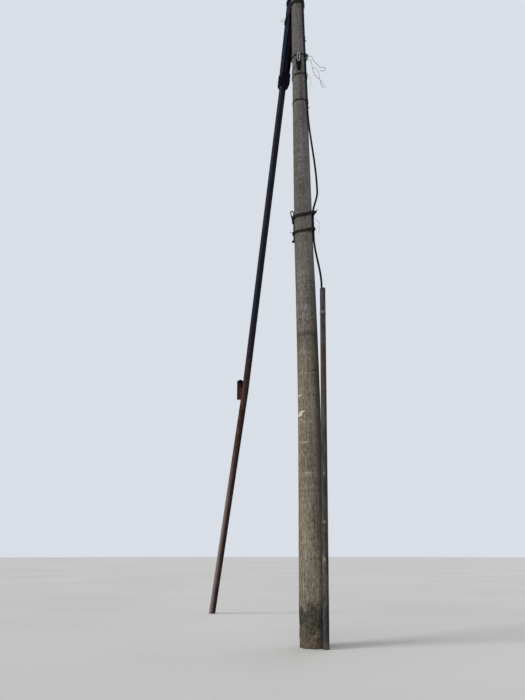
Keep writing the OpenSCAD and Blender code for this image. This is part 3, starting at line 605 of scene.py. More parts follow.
def brace_painted_sides(s, small):
    """Painted sheen along the left side and painted shade along the right side of the leaning pipe, standing in for
    light from the left.
    """
    c = math.cos(math.radians(BRACE_AZ))
    lower, upper = (s.z * (-c * math.tan(lean)) + c * (KINK_REACH + KINK_H * math.tan(lean))
                    for lean in (LOWER_LEAN, UPPER_LEAN))
    side = s.x - lower.maths("MINIMUM", upper) + (small - 0.5) * 0.03
    # Painted shade: the right side of the pipe is darkened.
    s.lay(s.fade(side, 0.0, 0.03, 0.0, 0.6), (22, 14, 14))
    # Painted sheen: the left side is lightened to a pale grey, most strongly low down.
    painted_sheen = s.fade(side, 0.014, -0.026) * s.fade(s.z, 2.2, 0.9, 0.04, 0.85)
    s.lay(painted_sheen, (126, 117, 116))


def steel_material(name, dark, mid, light, bloom, specular, metallic=0.0, size=1.0, stretch=1.0, worn=None,
                   above=None, brace=False):
    """Rusted or painted steel: three tones broken up at three scales, with a bloom of rust over them.
    Above is (from height, to height, colour, unevenness): another coat that takes over higher up; on the socket it
    is painted shade for the dark inside of its mouth. Worn is the colour of rubbed edges."""
    s = Shade(name, metallic, specular)
    large = s.noise((16 * size, 16 * size, 16 * size * stretch), 4, 0.6, 1)
    small = s.noise((85 * size, 85 * size, 85 * size * stretch), 3, 0.65, 2)
    speck = s.noise(380 * size, 2, 0.6, 3)
    value = large * 0.45 + small * 0.35 + speck * 0.2
    s.colour = s.ramp(value, (0.38, dark), (0.5, mid), (0.62, light))
    patch = s.fade(s.noise(34 * size, 4, 0.7, 4) * 0.8 + small * 0.2, 0.54, 0.66)
    s.lay(patch * 0.6, bloom)
    if above:
        lo, hi, tone, uneven = above
        coat = s.ramp(value, (0.38, tuple(0.6 * c for c in lin(tone)[:3]) + (1,)), (0.62, tone))
        s.lay(s.fade(s.z + (large - 0.5) * uneven, lo, hi), coat)
    # Brace: painted sheen on the left side and painted shade on the right side of the pipe.
    if brace:
        brace_painted_sides(s, small)
    if worn:
        s.lay(s.edges(0.505, 0.56) * s.fade(small, 0.4, 0.6, 0.25, 0.9), worn)
    return s.finish(s.fade(value, 0.35, 0.65, 0.9, 0.62), small * 0.6 + speck * 0.4, 0.0012, 0.5)


# Look: name of the material, slot, dark, middle and light tone, rust bloom, specular, what else differs
STEELS = {
    "brace": ("brace_rust", "rusty_steel", (24, 14, 14), (57, 37, 33), (96, 62, 51), (112, 64, 47), 0.15,
              dict(stretch=0.3, above=(2.6, 3.1, (24, 28, 44), 2.4), brace=True)),
    "plate": ("plate_rust", "rusty_steel", (40, 26, 26), (82, 56, 54), (108, 76, 72), (114, 74, 64), 0.15,
              dict(worn=(120, 86, 74))),
    # Socket: its near-black upper half is painted shade for the dark inside of its mouth.
    "socket": ("socket_steel", "rusty_steel", (26, 18, 19), (54, 38, 38), (76, 54, 52), (84, 56, 48), 0.15,
               dict(above=(2.552, 2.568, (14, 15, 20), 0.03))),
    "head": ("head_steel", "dark_steel", (4, 7, 18), (9, 14, 30), (23, 30, 50), (17, 20, 34), 0.07,
             dict(worn=(38, 44, 60))),
    "collar": ("collar_steel", "dark_steel", (4, 5, 13), (8, 10, 22), (19, 22, 36), (19, 18, 27), 0.08,
               dict(worn=(35, 37, 49))),
    "dark": ("dark_steel", "dark_steel", (11, 10, 11), (22, 20, 21), (38, 34, 34), (46, 35, 32), 0.2,
             dict(worn=(60, 54, 50))),
    "wire": ("lashing_wire", "lashing_wire", (12, 10, 11), (25, 21, 23), (44, 38, 39), (52, 39, 38), 0.25,
             dict(size=1.6)),
    "wire_rust": ("rusty_wire", "lashing_wire", (20, 14, 16), (42, 31, 33), (68, 50, 50), (78, 50, 43), 0.2,
                  dict(size=1.6)),
    "grey": ("grey_steel", "grey_steel", (92, 94, 98), (132, 134, 139), (164, 167, 172), (120, 100, 84), 0.5,
             dict(metallic=0.2, worn=(176, 178, 182))),
    "grey_dirty": ("coupling_steel", "conduit_steel", (44, 43, 44), (70, 69, 70), (96, 94, 93), (78, 62, 54),
                   0.2, dict(worn=(112, 110, 107))),
    "rod": ("hook_rust", "rusty_steel", (36, 24, 20), (70, 46, 36), (98, 66, 50), (122, 74, 50), 0.35,
            dict(worn=(110, 82, 66))),
    "cable": ("cable_jacket", "cable_jacket", (7, 7, 9), (12, 12, 15), (20, 20, 24), (30, 29, 29), 0.12, {}),
    "plastic": ("black_plastic", "black_plastic", (3, 5, 9), (7, 9, 14), (14, 16, 22), (17, 17, 20), 0.07,
                dict(worn=(25, 26, 32)))}


def conduit_material():
    """Dirty grey steel, browner in its middle, with mud splashed up from the ground."""
    s = Shade("conduit_steel", 0.0, 0.15)
    large = s.noise((30, 30, 5), 4, 0.62, 1)
    small = s.noise((110, 110, 45), 3, 0.65, 2)
    value = large * 0.4 + small * 0.3 + s.noise((75, 75, 2.5), 3, 0.6, 3) * 0.3
    uneven = large - 0.5
    grey = s.ramp(value, (0.4, (32, 32, 35)), (0.5, (56, 56, 60)), (0.6, (82, 82, 86)))
    olive = s.ramp(value, (0.4, (40, 37, 33)), (0.5, (68, 64, 57)), (0.6, (98, 93, 83)))
    s.colour = s.mix(s.fade(s.z + uneven * 0.6, 2.6, 2.3), grey, olive)
    s.lay(s.band(1.0, 1.5, 0.12, uneven * 0.5) * 0.4, (38, 38, 33))
    s.lay(s.fade(s.z + uneven * 0.4, 0.45, 0.2, 0.0, 0.7), grey)
    rust = s.band(1.9, 2.5, 0.16, uneven * 0.6) * s.fade(small, 0.36, 0.56)
    s.lay(rust * 0.65, (76, 54, 48))
    s.lay(s.fade(s.noise(42, 4, 0.7, 4), 0.56, 0.66) * 0.5, (74, 50, 42))
    s.lay(s.fade(s.z, 0.09, 0.01) * 0.4, (92, 84, 71))
    ragged = (s.noise(90, 3, 0.6, 5) - 0.5) * 2.4
    for z, w, h in ((0.935, 0.012, 0.012), (0.645, 0.012, 0.02), (1.32, 0.006, 0.02)):
        x, y, _ = conduit_at(z) + (-0.007, -0.024, 0)
        s.lay(s.spot((x, y, z), (w, 0.03, h), ragged, 0.35) * 0.55, (136, 131, 120))
    s.lay(s.edges(0.52, 0.6) * 0.5, (104, 100, 94))
    return s.finish(s.fade(value, 0.35, 0.65, 0.86, 0.6), small * 0.6 + large * 0.5, 0.0012, 0.5)


def porcelain_material():
    """White glaze with a film of dust in its hollows and a few darker streaks."""
    s = Shade("porcelain", 0.0, 0.6)
    film = s.noise((22, 22, 8), 3, 0.6, 1)
    s.colour = s.ramp(film, (0.36, (206, 202, 190)), (0.6, (228, 226, 218)))
    s.lay(s.edges(0.5, 0.44) * 0.7, (150, 138, 118))
    s.lay(s.fade(s.noise((95, 95, 6), 3, 0.6, 2), 0.56, 0.68) * 0.45, (158, 146, 126))
    feed(s.tree, s.shader, {"Coat Weight": 0.35, "Coat Roughness": 0.12})
    return s.finish(s.fade(film, 0.35, 0.65, 0.34, 0.2), s.noise(160, 2, 0.5, 3), 0.0004, 0.2)


# Look: material and slot
LOOKS = {"wood": (wood_material(), "weathered_wood"), "conduit": (conduit_material(), "conduit_steel"),
         "porcelain": (porcelain_material(), "porcelain")}
for look, (title, surface, *tones, more) in STEELS.items():
    LOOKS[look] = steel_material(title, *tones, **more), surface


# Camera, light and stage
def make_camera():
    data = bpy.data.cameras.new("camera")
    data.sensor_width, data.lens = 36.0, 30.296
    data.clip_start, data.clip_end = 0.05, 300
    cam = bpy.data.objects.new("camera", data)
    cam.location = (-0.4299, -5.0962, 0.7214)
    cam.rotation_euler = (math.radians(108.708), 0, math.radians(-0.327))
    SCENE.collection.objects.link(cam)
    SCENE.camera = cam


def sun(name, az, height, strength, angle, colour):
    data = bpy.data.lights.new(name, "SUN")
    data.energy, data.angle, data.color = strength, math.radians(angle), colour
    obj = bpy.data.objects.new(name, data)
    e = math.radians(height)
    obj.rotation_euler = Vector(polar(math.cos(e), az, math.sin(e))).to_track_quat("Z", "Y").to_euler()
    SCENE.collection.objects.link(obj)


def make_light():
    """Three soft suns and dim air round them. The camera and reflections see a paler backdrop."""
    sun("key", 202, 36, 1.95, 24, (1.0, 0.99, 0.97))
    sun("front", 256, 30, 0.75, 60, (0.97, 0.98, 1.0))
    sun("rear", 48, 34, 0.6, 60, (0.97, 0.98, 1.0))
    SCENE.world = bpy.data.worlds.new("studio")
    SCENE.world.use_nodes = True
    tree = SCENE.world.node_tree
    tree.nodes.clear()

    def add(kind, *values, **settings):
        return new_node(tree, kind, values, **settings).outputs

    ray = add("ShaderNodeLightPath")
    either = dict(operation="ADD", use_clamp=True)
    bounced = add("ShaderNodeMath", ray["Is Glossy Ray"], ray["Is Transmission Ray"], **either)[0]
    seen = add("ShaderNodeMath", ray["Is Camera Ray"], bounced, **either)[0]
    ambient = add("ShaderNodeBackground", (0.88, 0.93, 1.0, 1), 0.36)[0]
    pale = add("ShaderNodeBackground", (0.70, 0.74, 0.80, 1), 1.0)[0]
    add("ShaderNodeOutputWorld", add("ShaderNodeMixShader", seen, ambient, pale)[0])


def make_floor():
    s = Shade("floor", specular=0.2)
    s.colour = s.ramp(s.noise(0.35, 3, 0.5, 1), (0.35, (200, 198, 195)), (0.65, (205, 204, 201)))
    depth, sides = -0.001, 72
    points = [(0, 0, depth)] + [(r * math.cos(a), r * math.sin(a), depth)
                                for r in (0.5, 3, 9, 24, 60) for a in ring_angles(sides)]
    faces = [(0, 1 + k, 1 + (k + 1) % sides) for k in range(sides)]
    faces += [(a + 1, d + 1, c + 1, b + 1) for a, b, c, d in grid(5, sides, caps=False)]
    mesh = bpy.data.meshes.new("floor")
    mesh.from_pydata(points, [], faces)
    mesh.materials.append(s.finish(0.9))
    floor = bpy.data.objects.new("floor", mesh)
    SCENE.collection.objects.link(floor)


# The pole shaft
# Large cracks: direction, lower and upper end, half width, depth
CRACKS = ((279, 0.3, 1.3, 0.0028, 0.004), (304, 1.5, 2.4, 0.0026, 0.003), (296, 3.0, 3.5, 0.002, 0.0025),
          (301, 4.1, 4.9, 0.002, 0.0025), (40, 0.3, 3.6, 0.006, 0.008), (95, 2.4, 6.2, 0.005, 0.008),
          (150, 0.4, 2.2, 0.005, 0.007), (170, 4.0, 6.4, 0.004, 0.006), (330, 2.2, 5.6, 0.004, 0.007))
# Large knots: direction, height, size
KNOTS = ((233, 2.72, 0.009), (278, 2.685, 0.009), (273, 6.5, 0.013), (289, 6.35, 0.012), (266, 5.3, 0.012),
         (266.5, 4.96, 0.01), (265, 4.69, 0.01), (268.6, 4.48, 0.011), (297, 4.485, 0.01), (250, 1.05, 0.012),
         (95, 1.9, 0.03), (130, 3.3, 0.026), (20, 2.6, 0.024), (185, 1.4, 0.026), (60, 5.0, 0.02))


def bow(z):
    """Sideways bend of the weathered shaft between its butt and the middle lashing."""
    return np.interp(z, [0.75, 1.3, 1.9, 2.2, 2.6, 3.0, 3.3, 3.55],
                     [0, 0.0065, 0.0125, 0.0125, 0.0105, 0.007, 0.0035, 0])


def top_at(x):
    """Height of the slanting cut across the top."""
    return POLE_H - (pole_r(POLE_H) + x) * math.tan(TOP_SLOPE)


def make_shaft():
    sides = 252
    a = ring_angles(sides)
    zs = np.interp(np.arange(370), [0, 51, 286, 369], [0, 0.5, 5.2, POLE_H - 0.06])
    lift = step(zs, POLE_H - 0.9, zs[-1])[:, None]
    z = (zs[:, None] + lift * (top_at(pole_r(POLE_H) * np.cos(a)) - 0.006 - zs[-1])).ravel()
    az = np.tile(a, len(zs))
    r, c, s = pole_r(z), np.cos(az), np.sin(az)

    def around(k, m, shift=0.0):
        return spread(c * k + shift, s * k - shift, z * m + shift * 2)

    sink = 0.0006 * (0.6 + layers(around(34, 26), 1)) + 0.0008 * np.maximum(layers(around(9, 1.6, 5), 2), 0)
    sink += 0.0012 * (0.5 + lattice(around(2.2, 0.8, 9), 3))
    sink += 0.0007 * np.maximum(lattice(around(1.3, 13, 2), 6), 0)
    cracks = [(math.radians(d), *rest) for d, *rest in CRACKS]
    for _ in range(70):
        z0 = RNG.uniform(0.1, 6.8)
        cracks.append((RNG.uniform(0, TAU), z0, min(z0 + RNG.uniform(0.2, 1.1), 7.42),
                       RNG.uniform(0.0014, 0.0028), RNG.uniform(0.0012, 0.004)))
    deepest = 0.008
    crack = np.zeros_like(z)
    for n, (a0, z0, z1, wide, deep) in enumerate(cracks):
        line = a0 + 0.05 * (z - z0)
        line += 0.07 * lattice(spread(z * 1.7, n), 20) + 0.02 * lattice(spread(z * 9, n), 21)
        ends = step(z, z0, z0 + 0.16) * (1 - step(z, z1 - 0.2, z1))
        near = np.clip(1 - apart(az, line) * r / (wide * (0.35 + 0.65 * ends)), 0, 1)
        crack = np.maximum(crack, near ** 0.6 * ends * deep / deepest)
    sink += crack * deepest
    knots = [(math.radians(d), h, size) for d, h, size in KNOTS]
    knots += [(RNG.uniform(0, TAU), RNG.uniform(0.5, 7.2), RNG.uniform(0.005, 0.011)) for _ in range(34)]
    knot = np.zeros_like(z)
    for a0, h, size in knots:
        d = np.hypot(apart(az, a0) * r, (z - h) * 0.8) / size
        sink += 0.0022 * np.exp(-(d * 1.6) ** 2) - 0.0006 * np.exp(-((d - 1.3) * 3) ** 2)
        knot = np.maximum(knot, np.exp(-(d * 1.35) ** 4))
    base = 1 - step(z, 0.1, 0.34)
    sink += base * (0.0045 * (0.6 + layers(around(6, 16, 3), 12)) + 0.0028 * (1 + layers(around(20, 40), 13)))
    rot = 1 - step(z, 0.0, 0.12)
    sink += rot * (0.011 * np.maximum(layers(around(4.2, 22, 8), 14) + 0.3, 0)
                   + 0.006 * np.maximum(layers(around(11, 60, 4), 18) + 0.2, 0))
    r = r - np.maximum(sink, -0.0006)
    dust = 0.75 * (1 - step(z + 0.03 * layers(around(4, 12, 1), 15), 0.03, 0.10))

    verts, marks = [spread(r * c + bow(z), r * s, z)], [crack]
    shares = (0.955, 0.9, 0.8, 0.68, 0.55, 0.42, 0.29, 0.16, 0.06)
    for share in shares:
        r_in = r[-sides:] * share
        x, y = r_in * np.cos(a), r_in * np.sin(a)
        split = np.zeros(sides)
        for a0, reach in ((0.7, 0.95), (2.1, 0.8), (3.3, 1.0), (4.4, 0.75), (5.5, 0.9)):
            away = apart(a, a0) * np.maximum(r_in, 0.004)
            split = np.maximum(split, np.clip(1 - away / 0.0022, 0, 1) * (share < reach))
        rings = 0.0008 * np.sin(r_in * 2600 + 2 * lattice(circle(a, 2, r_in * 30), 16))
        wear = np.maximum(0.0025 * layers(spread(x * 60, y * 60), 17), -0.001)
        drop = (0.0035 if share > 0.92 else 0.0015) + rings + wear + split * 0.006
        verts.append(spread(x, y, top_at(x) - drop))
        marks.append(np.maximum(split, 0.25 + 150 * rings))
    clean = np.zeros(sides * len(shares))
    piece("pole_shaft_weathered", (np.concatenate(verts), grid(len(zs) + len(shares), sides)), "wood",
          ["pole_shaft"], 75, attributes={"crack": np.concatenate(marks), "knot": np.append(knot, clean),
                                          "dust": np.append(dust, clean)})


# Parts used more than once
def flaked(p, out, seed, uneven, coarse, fine, shift, hold=1.0, flakes=0.0):
    """Points pushed in along their outward directions by rust."""
    push = uneven * (coarse[0] * layers(p * coarse[1], seed) + 0.35 * layers(p * fine, seed + shift))
    if flakes:
        push += flakes * (step(layers(p * (24, 24, 9), seed + 9), 0.25, 0.4) - 0.3)
    return p - out * (np.maximum(push, -0.4 * uneven) * hold)[:, None]


def cut_pipe(origin, d, low, high, seed, flakes):
    """Rusty bar of the brace along a line, cut off at each end by a plane (point, normal)."""
    gap, sides = 0.011, 64
    u = np.cross(d, (1, 0, 0))
    u /= np.linalg.norm(u)
    a = ring_angles(sides)[:, None]
    out = np.cos(a) * u + np.sin(a) * np.cross(d, u)
    rim = origin + BRACE_R * out
    t0, t1 = (((point - rim) @ normal) / (d @ normal) for point, normal in (low, high))
    rows = math.ceil(np.max(t1 - t0) / gap)
    share = np.linspace(0, 1, rows + 1)[:, None]
    p = (rim + (t0 + (t1 - t0) * share)[..., None] * d).reshape(-1, 3)
    hold = np.repeat(np.minimum(1, np.minimum(share, 1 - share) * rows / 2), sides)
    p = flaked(p, np.tile(out, (rows + 1, 1)), seed, 0.0005, (0.45, (38, 38, 20)), 110, 5, hold, flakes)
    return p, grid(rows + 1, sides)


def hollow_pipe(radius_at, z0, z1, mouth, seed, uneven):
    """Length of the leaning conduit. Only its mouth is hollow."""
    bore = CONDUIT_BORE
    rows = [(z, radius_at(z), z0 + 0.004 < z < z1 - 0.004) for z in np.append(np.arange(z0, z1, 0.011), z1)]
    rows += [(z1, bore + 0.0006, False), (z1 - 0.002, bore, False), (z1 - mouth, bore, False)]
    a = ring_angles(72)
    out = circle(a)
    verts = []
    for z, r, rough in rows:
        ring = conduit_at(z) + r * out
        verts.extend(flaked(ring, out, seed, uneven, (0.5, (40, 40, 16)), 120, 4) if rough else ring)
    return verts, grid(len(rows), len(a))


def bead(path, radius, seed, closed=True):
    """Run of weld with its ripples."""
    gap = 0.0022
    p = resample(path, gap, closed)
    s = np.arange(len(p)) * gap
    r = radius * (1 + 0.16 * np.sin(s * TAU / 0.0075) + 0.22 * lattice(spread(s * 90), seed))
    return tube(p, r, 8, closed)


def bolt(at, d, across, head, grip, tip):
    """Hexagon bolt from the outer face of one plate, through grip, to a nut and a thread end."""
    r, w, shank, pitch = across / math.sqrt(3), 0.0016, 0.0055, 0.0008
    hexagon = [(r * 0.98, 0), (r, 0.0006), (r, head * 0.8), (r * 0.9, head), (0.0004, head)]
    washer = [(r * 1.22, 0), (r * 1.25, 0.0004), (r * 1.25, w - 0.0004), (r * 1.2, w)]
    thread = [(shank * (0.9 + 0.1 * (k % 2)), k * pitch) for k in range(int((tip + head) / pitch))]
    return join([lathe([(q, head - h) for q, h in reversed(hexagon)], at - d * (w + head), d, 6),
                 lathe(hexagon, at + d * (grip + w), d, 6),
                 lathe(washer, at - d * w, d, 20),
                 lathe(washer, at + d * grip, d, 20),
                 lathe([(shank, 0)] + thread, at + d * (grip + w), d, 12)])


def strand(points, radius, gap=0.004, sides=6):
    """Thin wire through a few points."""
    return tube(curve(points, gap), radius, sides)


def closed_ring(circles_at, z0, d, rise, wobble, seed, gap=0.005):
    """Centre line of one turn of wire, which climbs on its way round."""
    p = resample(spread(*taut(circles_at(z0, d)).T, z0), gap, True)
    az = directions(p)
    p[:, 2] += wobble * layers(circle(np.radians(az), 3), seed) + rise(az)
    return p


def winding(z0, start_az, seed):
    """Centre line of a head lashing, with its turns wound one above the other."""
    turns, pitch = 5, 0.0088
    loops = []
    for i in range(turns + 1):
        line = taut(head_circles(z0 + i * pitch, 0.008), 3)
        first = int(np.argmin(apart(directions(line), start_az, 360)))
        loops.append(resample(spread(*np.roll(line, -first, 0).T), 0.004, True)[:, :2])
    n = min(len(q) for q in loops)
    loops = [q[np.linspace(0, len(q), n, endpoint=False).astype(int)] for q in loops]
    f = np.arange(n)[:, None] / n
    rows = [np.hstack([loops[i] * (1 - f) + loops[i + 1] * f, z0 + (i + f) * pitch]) for i in range(turns)]
    p = resample(np.vstack(rows), 0.006)
    p[:, 2] += 0.0006 * lattice(circle(np.radians(directions(p)), 4, p[:, 2] * 60), seed)
    return p


def coil(at, axis, radius, wire, turns, pitch, seed):
    """Short knot of wire: a few uneven turns round an axis."""
    d = np.asarray(axis, float) / np.linalg.norm(axis)
    u = np.cross(d, (0.3, 0.5, 0.81))
    u /= np.linalg.norm(u)
    a = np.linspace(0, turns * TAU, int(turns * 14) + 1)[:, None]
    r = radius * (1 + 0.22 * np.sin(a * 0.7 + seed) + 0.1 * np.sin(a * 2.3 + seed))
    climb = (a / TAU - turns / 2) * pitch * d
    return tube(at + r * (np.cos(a) * u + np.sin(a) * np.cross(d, u)) + climb, wire, 8)


# Brace and its head
def make_brace():
    kink = on_brace(KINK_REACH, 0, KINK_H)
    down = polar(math.sin(LOWER_LEAN), BRACE_AZ, -math.cos(LOWER_LEAN))
    up = polar(-math.sin(UPPER_LEAN), BRACE_AZ, math.cos(UPPER_LEAN))
    n = up - down
    end = kink + up * (PIPE_END_H - KINK_H) / math.cos(UPPER_LEAN)
    for name, d, far, seed, flakes in (("lower", down, ((0, 0, 0), UP), 60, 0.0005),
                                       ("upper", up, (end, up), 71, 0.0004)):
        piece("brace_%s_rusted" % name, cut_pipe(kink, d, (kink, n), far, seed, flakes), "brace",
              ["brace_%s_pipe" % name], 50)
    u = np.cross(up, n)
    u /= np.linalg.norm(u)
    a = ring_angles(90)[:, None]
    ring = BRACE_R * (np.cos(a) * u + np.sin(a) * np.cross(up, u))
    ring += kink - up * (ring @ n / (up @ n))[:, None]
    piece("brace_kink_weld", bead(ring, 0.0026, 3), "brace", sharp=40)


def make_plate():
    corners = np.array([v.co for v in NODES["brace_side_plate"].data.vertices])
    lo, hi = corners.min(0), corners.max(0)
    hole = np.array([lo[0] + 0.0384, hi[1] - 0.008, lo[2] + 0.078])
    seam = [(lo[0] + 0.098, hi[1] + 0.0005, z) for z in (lo[2] + 0.01, hi[2] - 0.01)]
    dressed("brace_side_plate", "plate", 0.0009, 0.0006, 0.02, 31, extra=[
        bolt(hole, np.array([0, 1, 0]), 0.019, 0.008, 0.008, 0.01), bead(curve(seam, 0.01), 0.003, 4, False)])
    x, y, z = SOCKET_AT
    ring = [(x + 0.031 * math.cos(a), y - 0.001, z + 0.031 * math.sin(a)) for a in ring_angles(60)]
    dressed("brace_side_socket", "socket", 0.0007, 0.0005, 0.014, 32, extra=[bead(ring, 0.003, 5)],
            name="side_socket_worn")


def make_head():
    dressed("brace_head_channel", "head", 0.0007, 0.0009, 0.016, 33, 22)
    axis = on_channel(1, 0, 0) - on_channel(0, 0, 0)
    bolts = [bolt(on_channel(COLLAR_FRONT + 0.022, 0.0565, up), axis, 0.018, 0.009, 0.028, 0.012)
             for up in (0.112, 0.15)]
    dressed("brace_head_collar", "collar", 0.0009, 0.0012, 0.014, 34, 26, bolts)
    for name, z, seed, start in (("low", 6.565, 41, 205), ("high", 6.79, 47, 240)):
        line = winding(z, start, seed)
        first, last = line[0], line[-1]
        out = first * (1, 1, 0) / np.hypot(*first[:2])
        parts = [twisted(line, 0.0021, 2, 0.03, False)]
        for root, dx, dz in ((first, -0.03, -0.028), (last, 0.02, 0.03)):
            tail = ((0, 0, 0), (0.007, 0, 0.3), (0.018, 0.4, 0.6), (0.03, 0.7, 1))
            parts.append(strand([root + out * o + (dx * p, 0, dz * q) for o, p, q in tail], 0.0018))
        parts.append(coil(first + out * 0.004, (0.2, 0.1, 1), 0.007, 0.0021, 3, 0.005, seed))
        node = "brace_head_lashing_" + name
        piece(node + "_twisted", join(parts), "wire", [node])
    twigs = (mm((-98, 160, 6588), (-128, 165, 6592), (-152, 170, 6578), (-187, 172, 6556)),
             mm((-104, 160, 6570), (-140, 170, 6545), (-163, 172, 6546), (-186, 174, 6532)),
             mm((-20, -71, 6552), (12, -73.5, 6549), (42, -62, 6553), (66, -33, 6556)))
    piece("brace_head_wire_ends", join([strand(t, 0.0016, 0.006) for t in twigs]), "wire_rust")


# Middle lashing
def wrap_turns(heights, d, climb, more, wobble, seed, wire, lay, turn):
    """Two ropes of wire side by side round pole, bar and cable. They climb over the cable, one more than
    the other."""
    def rise(az):
        return (climb * drift(az, 352, 80) - 0.004 * drift(az, 250, 60)) * (1 + more * k)

    parts = []
    for k, z in enumerate(heights):
        line = closed_ring(lash_circles, z, d, rise, wobble, seed + k)
        parts.append(twisted(line, wire, 3, lay, phase=k * turn))
    return parts


def make_middle_lashing():
    knot = on_pole(3.868, -17, CABLE_R * 2 + 0.012)
    piece("lashing_upper_twisted", join([
        *wrap_turns((3.8065, 3.8235), 0.016, 0.052, 0.12, 0.0018, 80, 0.0037, 0.052, 1.1),
        coil(knot, (0.3, -0.1, 1), 0.012, 0.0036, 2.5, 0.008, 2),
        coil(knot + (0.012, 0, 0.01), (1, 0.2, 0.4), 0.009, 0.003, 2, 0.006, 5),
        strand([knot, knot + (0.016, -0.004, 0.022), knot + (0.03, 0, 0.03)], 0.0026)]),
        "wire", ["lashing_upper_wrap"])
    spike = on_pole(3.643, 196, 0.008)
    piece("lashing_lower_twisted", join([
        *wrap_turns((3.6335, 3.6465), 0.012, 0.044, 0.1, 0.002, 90, 0.0029, 0.044, 0.8),
        *(coil(on_pole(z, az, 0.012), polar(1, az + 90, 0.4), r, 0.003, 2.5, 0.006, az)
          for az, z, r in ((297, 3.652, 0.009), (304, 3.640, 0.010), (311, 3.664, 0.008))),
        strand([spike, spike + (-0.016, -0.004, 0.001), spike + (-0.042, -0.006, 0.006)], 0.0022)]),
        "wire_rust", ["lashing_lower_wrap"])
    hang = mm((94, -50, 3826), (119, -42, 3790), (138, -40, 3772), (156.7, -40, 3752), (158, -40, 3710),
              (147, -40, 3670), (143.4, -40, 3635.5))
    piece("lashing_hanging_wire", strand(hang, 0.0011, 0.006), "wire")

    half = 0.01475
    leg = [on_pole(z, BAR_AZ, BAR_OUT) for z in (3.56, 3.60, 3.64, 3.73, 3.80, 3.84, 3.872)]
    arch = [leg[-1] + polar(half * (1 + math.cos(a)), BAR_AZ, half * math.sin(a))
            for a in np.radians((150, 120, 90, 60, 30, 0))]
    back = [on_pole(z, BAR_AZ, BAR_OUT + out) for z, out in (
        (3.852, 0.0275), (3.82, 0.0205), (3.79, 0.0145), (3.768, 0.0122), (3.744, 0.0122))]
    line = curve(leg + arch + back, 0.004)
    piece("lashing_bar_bent", tube(line, BAR_R * (0.96 + 0.05 * lattice(line * 60, 8)), 14), "dark",
          ["lashing_bent_bar"], 50)
    knob = mm((0.6, -23), (5.5, -22.2), (9.8, -19.2), (12.8, -14.5), (13.5, -9.5), (12.8, -5), (9, -1), (4, 0))
    piece("lashing_knob_cast", lathe(knob, on_pole(3.56, BAR_AZ, 0.0144), sides=28), "plastic",
          ["lashing_bar_knob"], 50)


# Hanger, guard wires and strap
def make_hanger():
    line = closed_ring(wire_circles, HANGER_Z, 0.013, lambda az: 0.012 * drift(az, 350, 70), 0.0012, 50)
    piece("hanger_wire_twisted", join([
        twisted(line, 0.0030, 3, 0.045),
        coil(on_pole(5.822, 335, 0.02), (0.2, 0.3, 1), 0.011, 0.003, 2.5, 0.006, 3),
        coil(on_pole(5.80, 322, 0.012), (0.6, 0.3, 0.5), 0.008, 0.0026, 2, 0.006, 4)]),
        "wire", ["hanger_wire"])
    parts = []
    for z, wire, climb, seed in ((5.543, 0.0019, 0, 55), (5.557, 0.0015, 0.006, 56)):
        line = closed_ring(wire_circles, z, 0.008, lambda az: climb * drift(az, 330, 60), 0.0014, seed, 0.006)
        parts.append(twisted(line, wire, 2, 0.03))
    loop = [on_pole(z, az, out) for z, az, out in (
        (5.562, 303, 0.004), (5.574, 309, 0.010), (5.556, 316, 0.012), (5.52, 316, 0.007), (5.485, 313, 0.005),
        (5.46, 310, 0.003))]
    piece("guard_wire_twisted", join(parts + [strand(loop, 0.0017, 0.005)]), "wire_rust", ["guard_wire"])

    dressed("hanger_strap", "grey", 0.0006, 0.0002, 0.01, 35)
    front = pole_r(5.592) + SEAT
    ribs = []
    for k in range(4):
        z, half = 5.655 - k * 0.0135, 0.0235 - k * 0.0034
        rib = ((0.0335, -1, 0), (0.0368, -0.6, 0), (0.0372, 0, 0.001), (0.0368, 0.6, 0), (0.0335, 1, 0))
        ribs.append(strand([beside(front + out, half * side, HANGER_AZ, z - dip) for out, side, dip in rib],
                           0.0021, sides=8))
    dressed("hanger_clamp", "plastic", 0.0022, 0.0003, 0.012, 36, extra=ribs)
    dressed("hanger_pin", "grey", 0.0005)


def make_strap():
    line = closed_ring(strap_circles, STRAP_Z, 0.003, lambda az: 0.0025 * np.sin(np.radians(az - 40)),
                       0.0004, 70, 0.006)
    section = mm((-1.5, -7.8), (0.9, -8), (1.5, -7.4), (1.5, 7.4), (0.9, 8), (-1.5, 7.8))
    u = axes(line, True, UP)[1]
    band = np.stack([line + u * out + (0, 0, up) for out, up in section], 1).reshape(-1, 3)
    faces = [(a, d, c, b) for a, b, c, d in grid(len(line), len(section), True)]

    def block(near, far, w, half):
        corners = ((near, -w), (far, -w * 0.92), (far, w * 0.92), (near, w))
        return [beside(pole_r(STRAP_Z) + out, side, 232, STRAP_Z + h)
                for h in (-half, half) for out, side in corners], grid(2, 4)

    piece("steel_strap_buckled", join([(band, faces), block(0.001, 0.0068, 0.013, 0.01),
                                       block(0.003, 0.0052, 0.024, 0.0065)]), "dark", ["steel_strap"], 35)


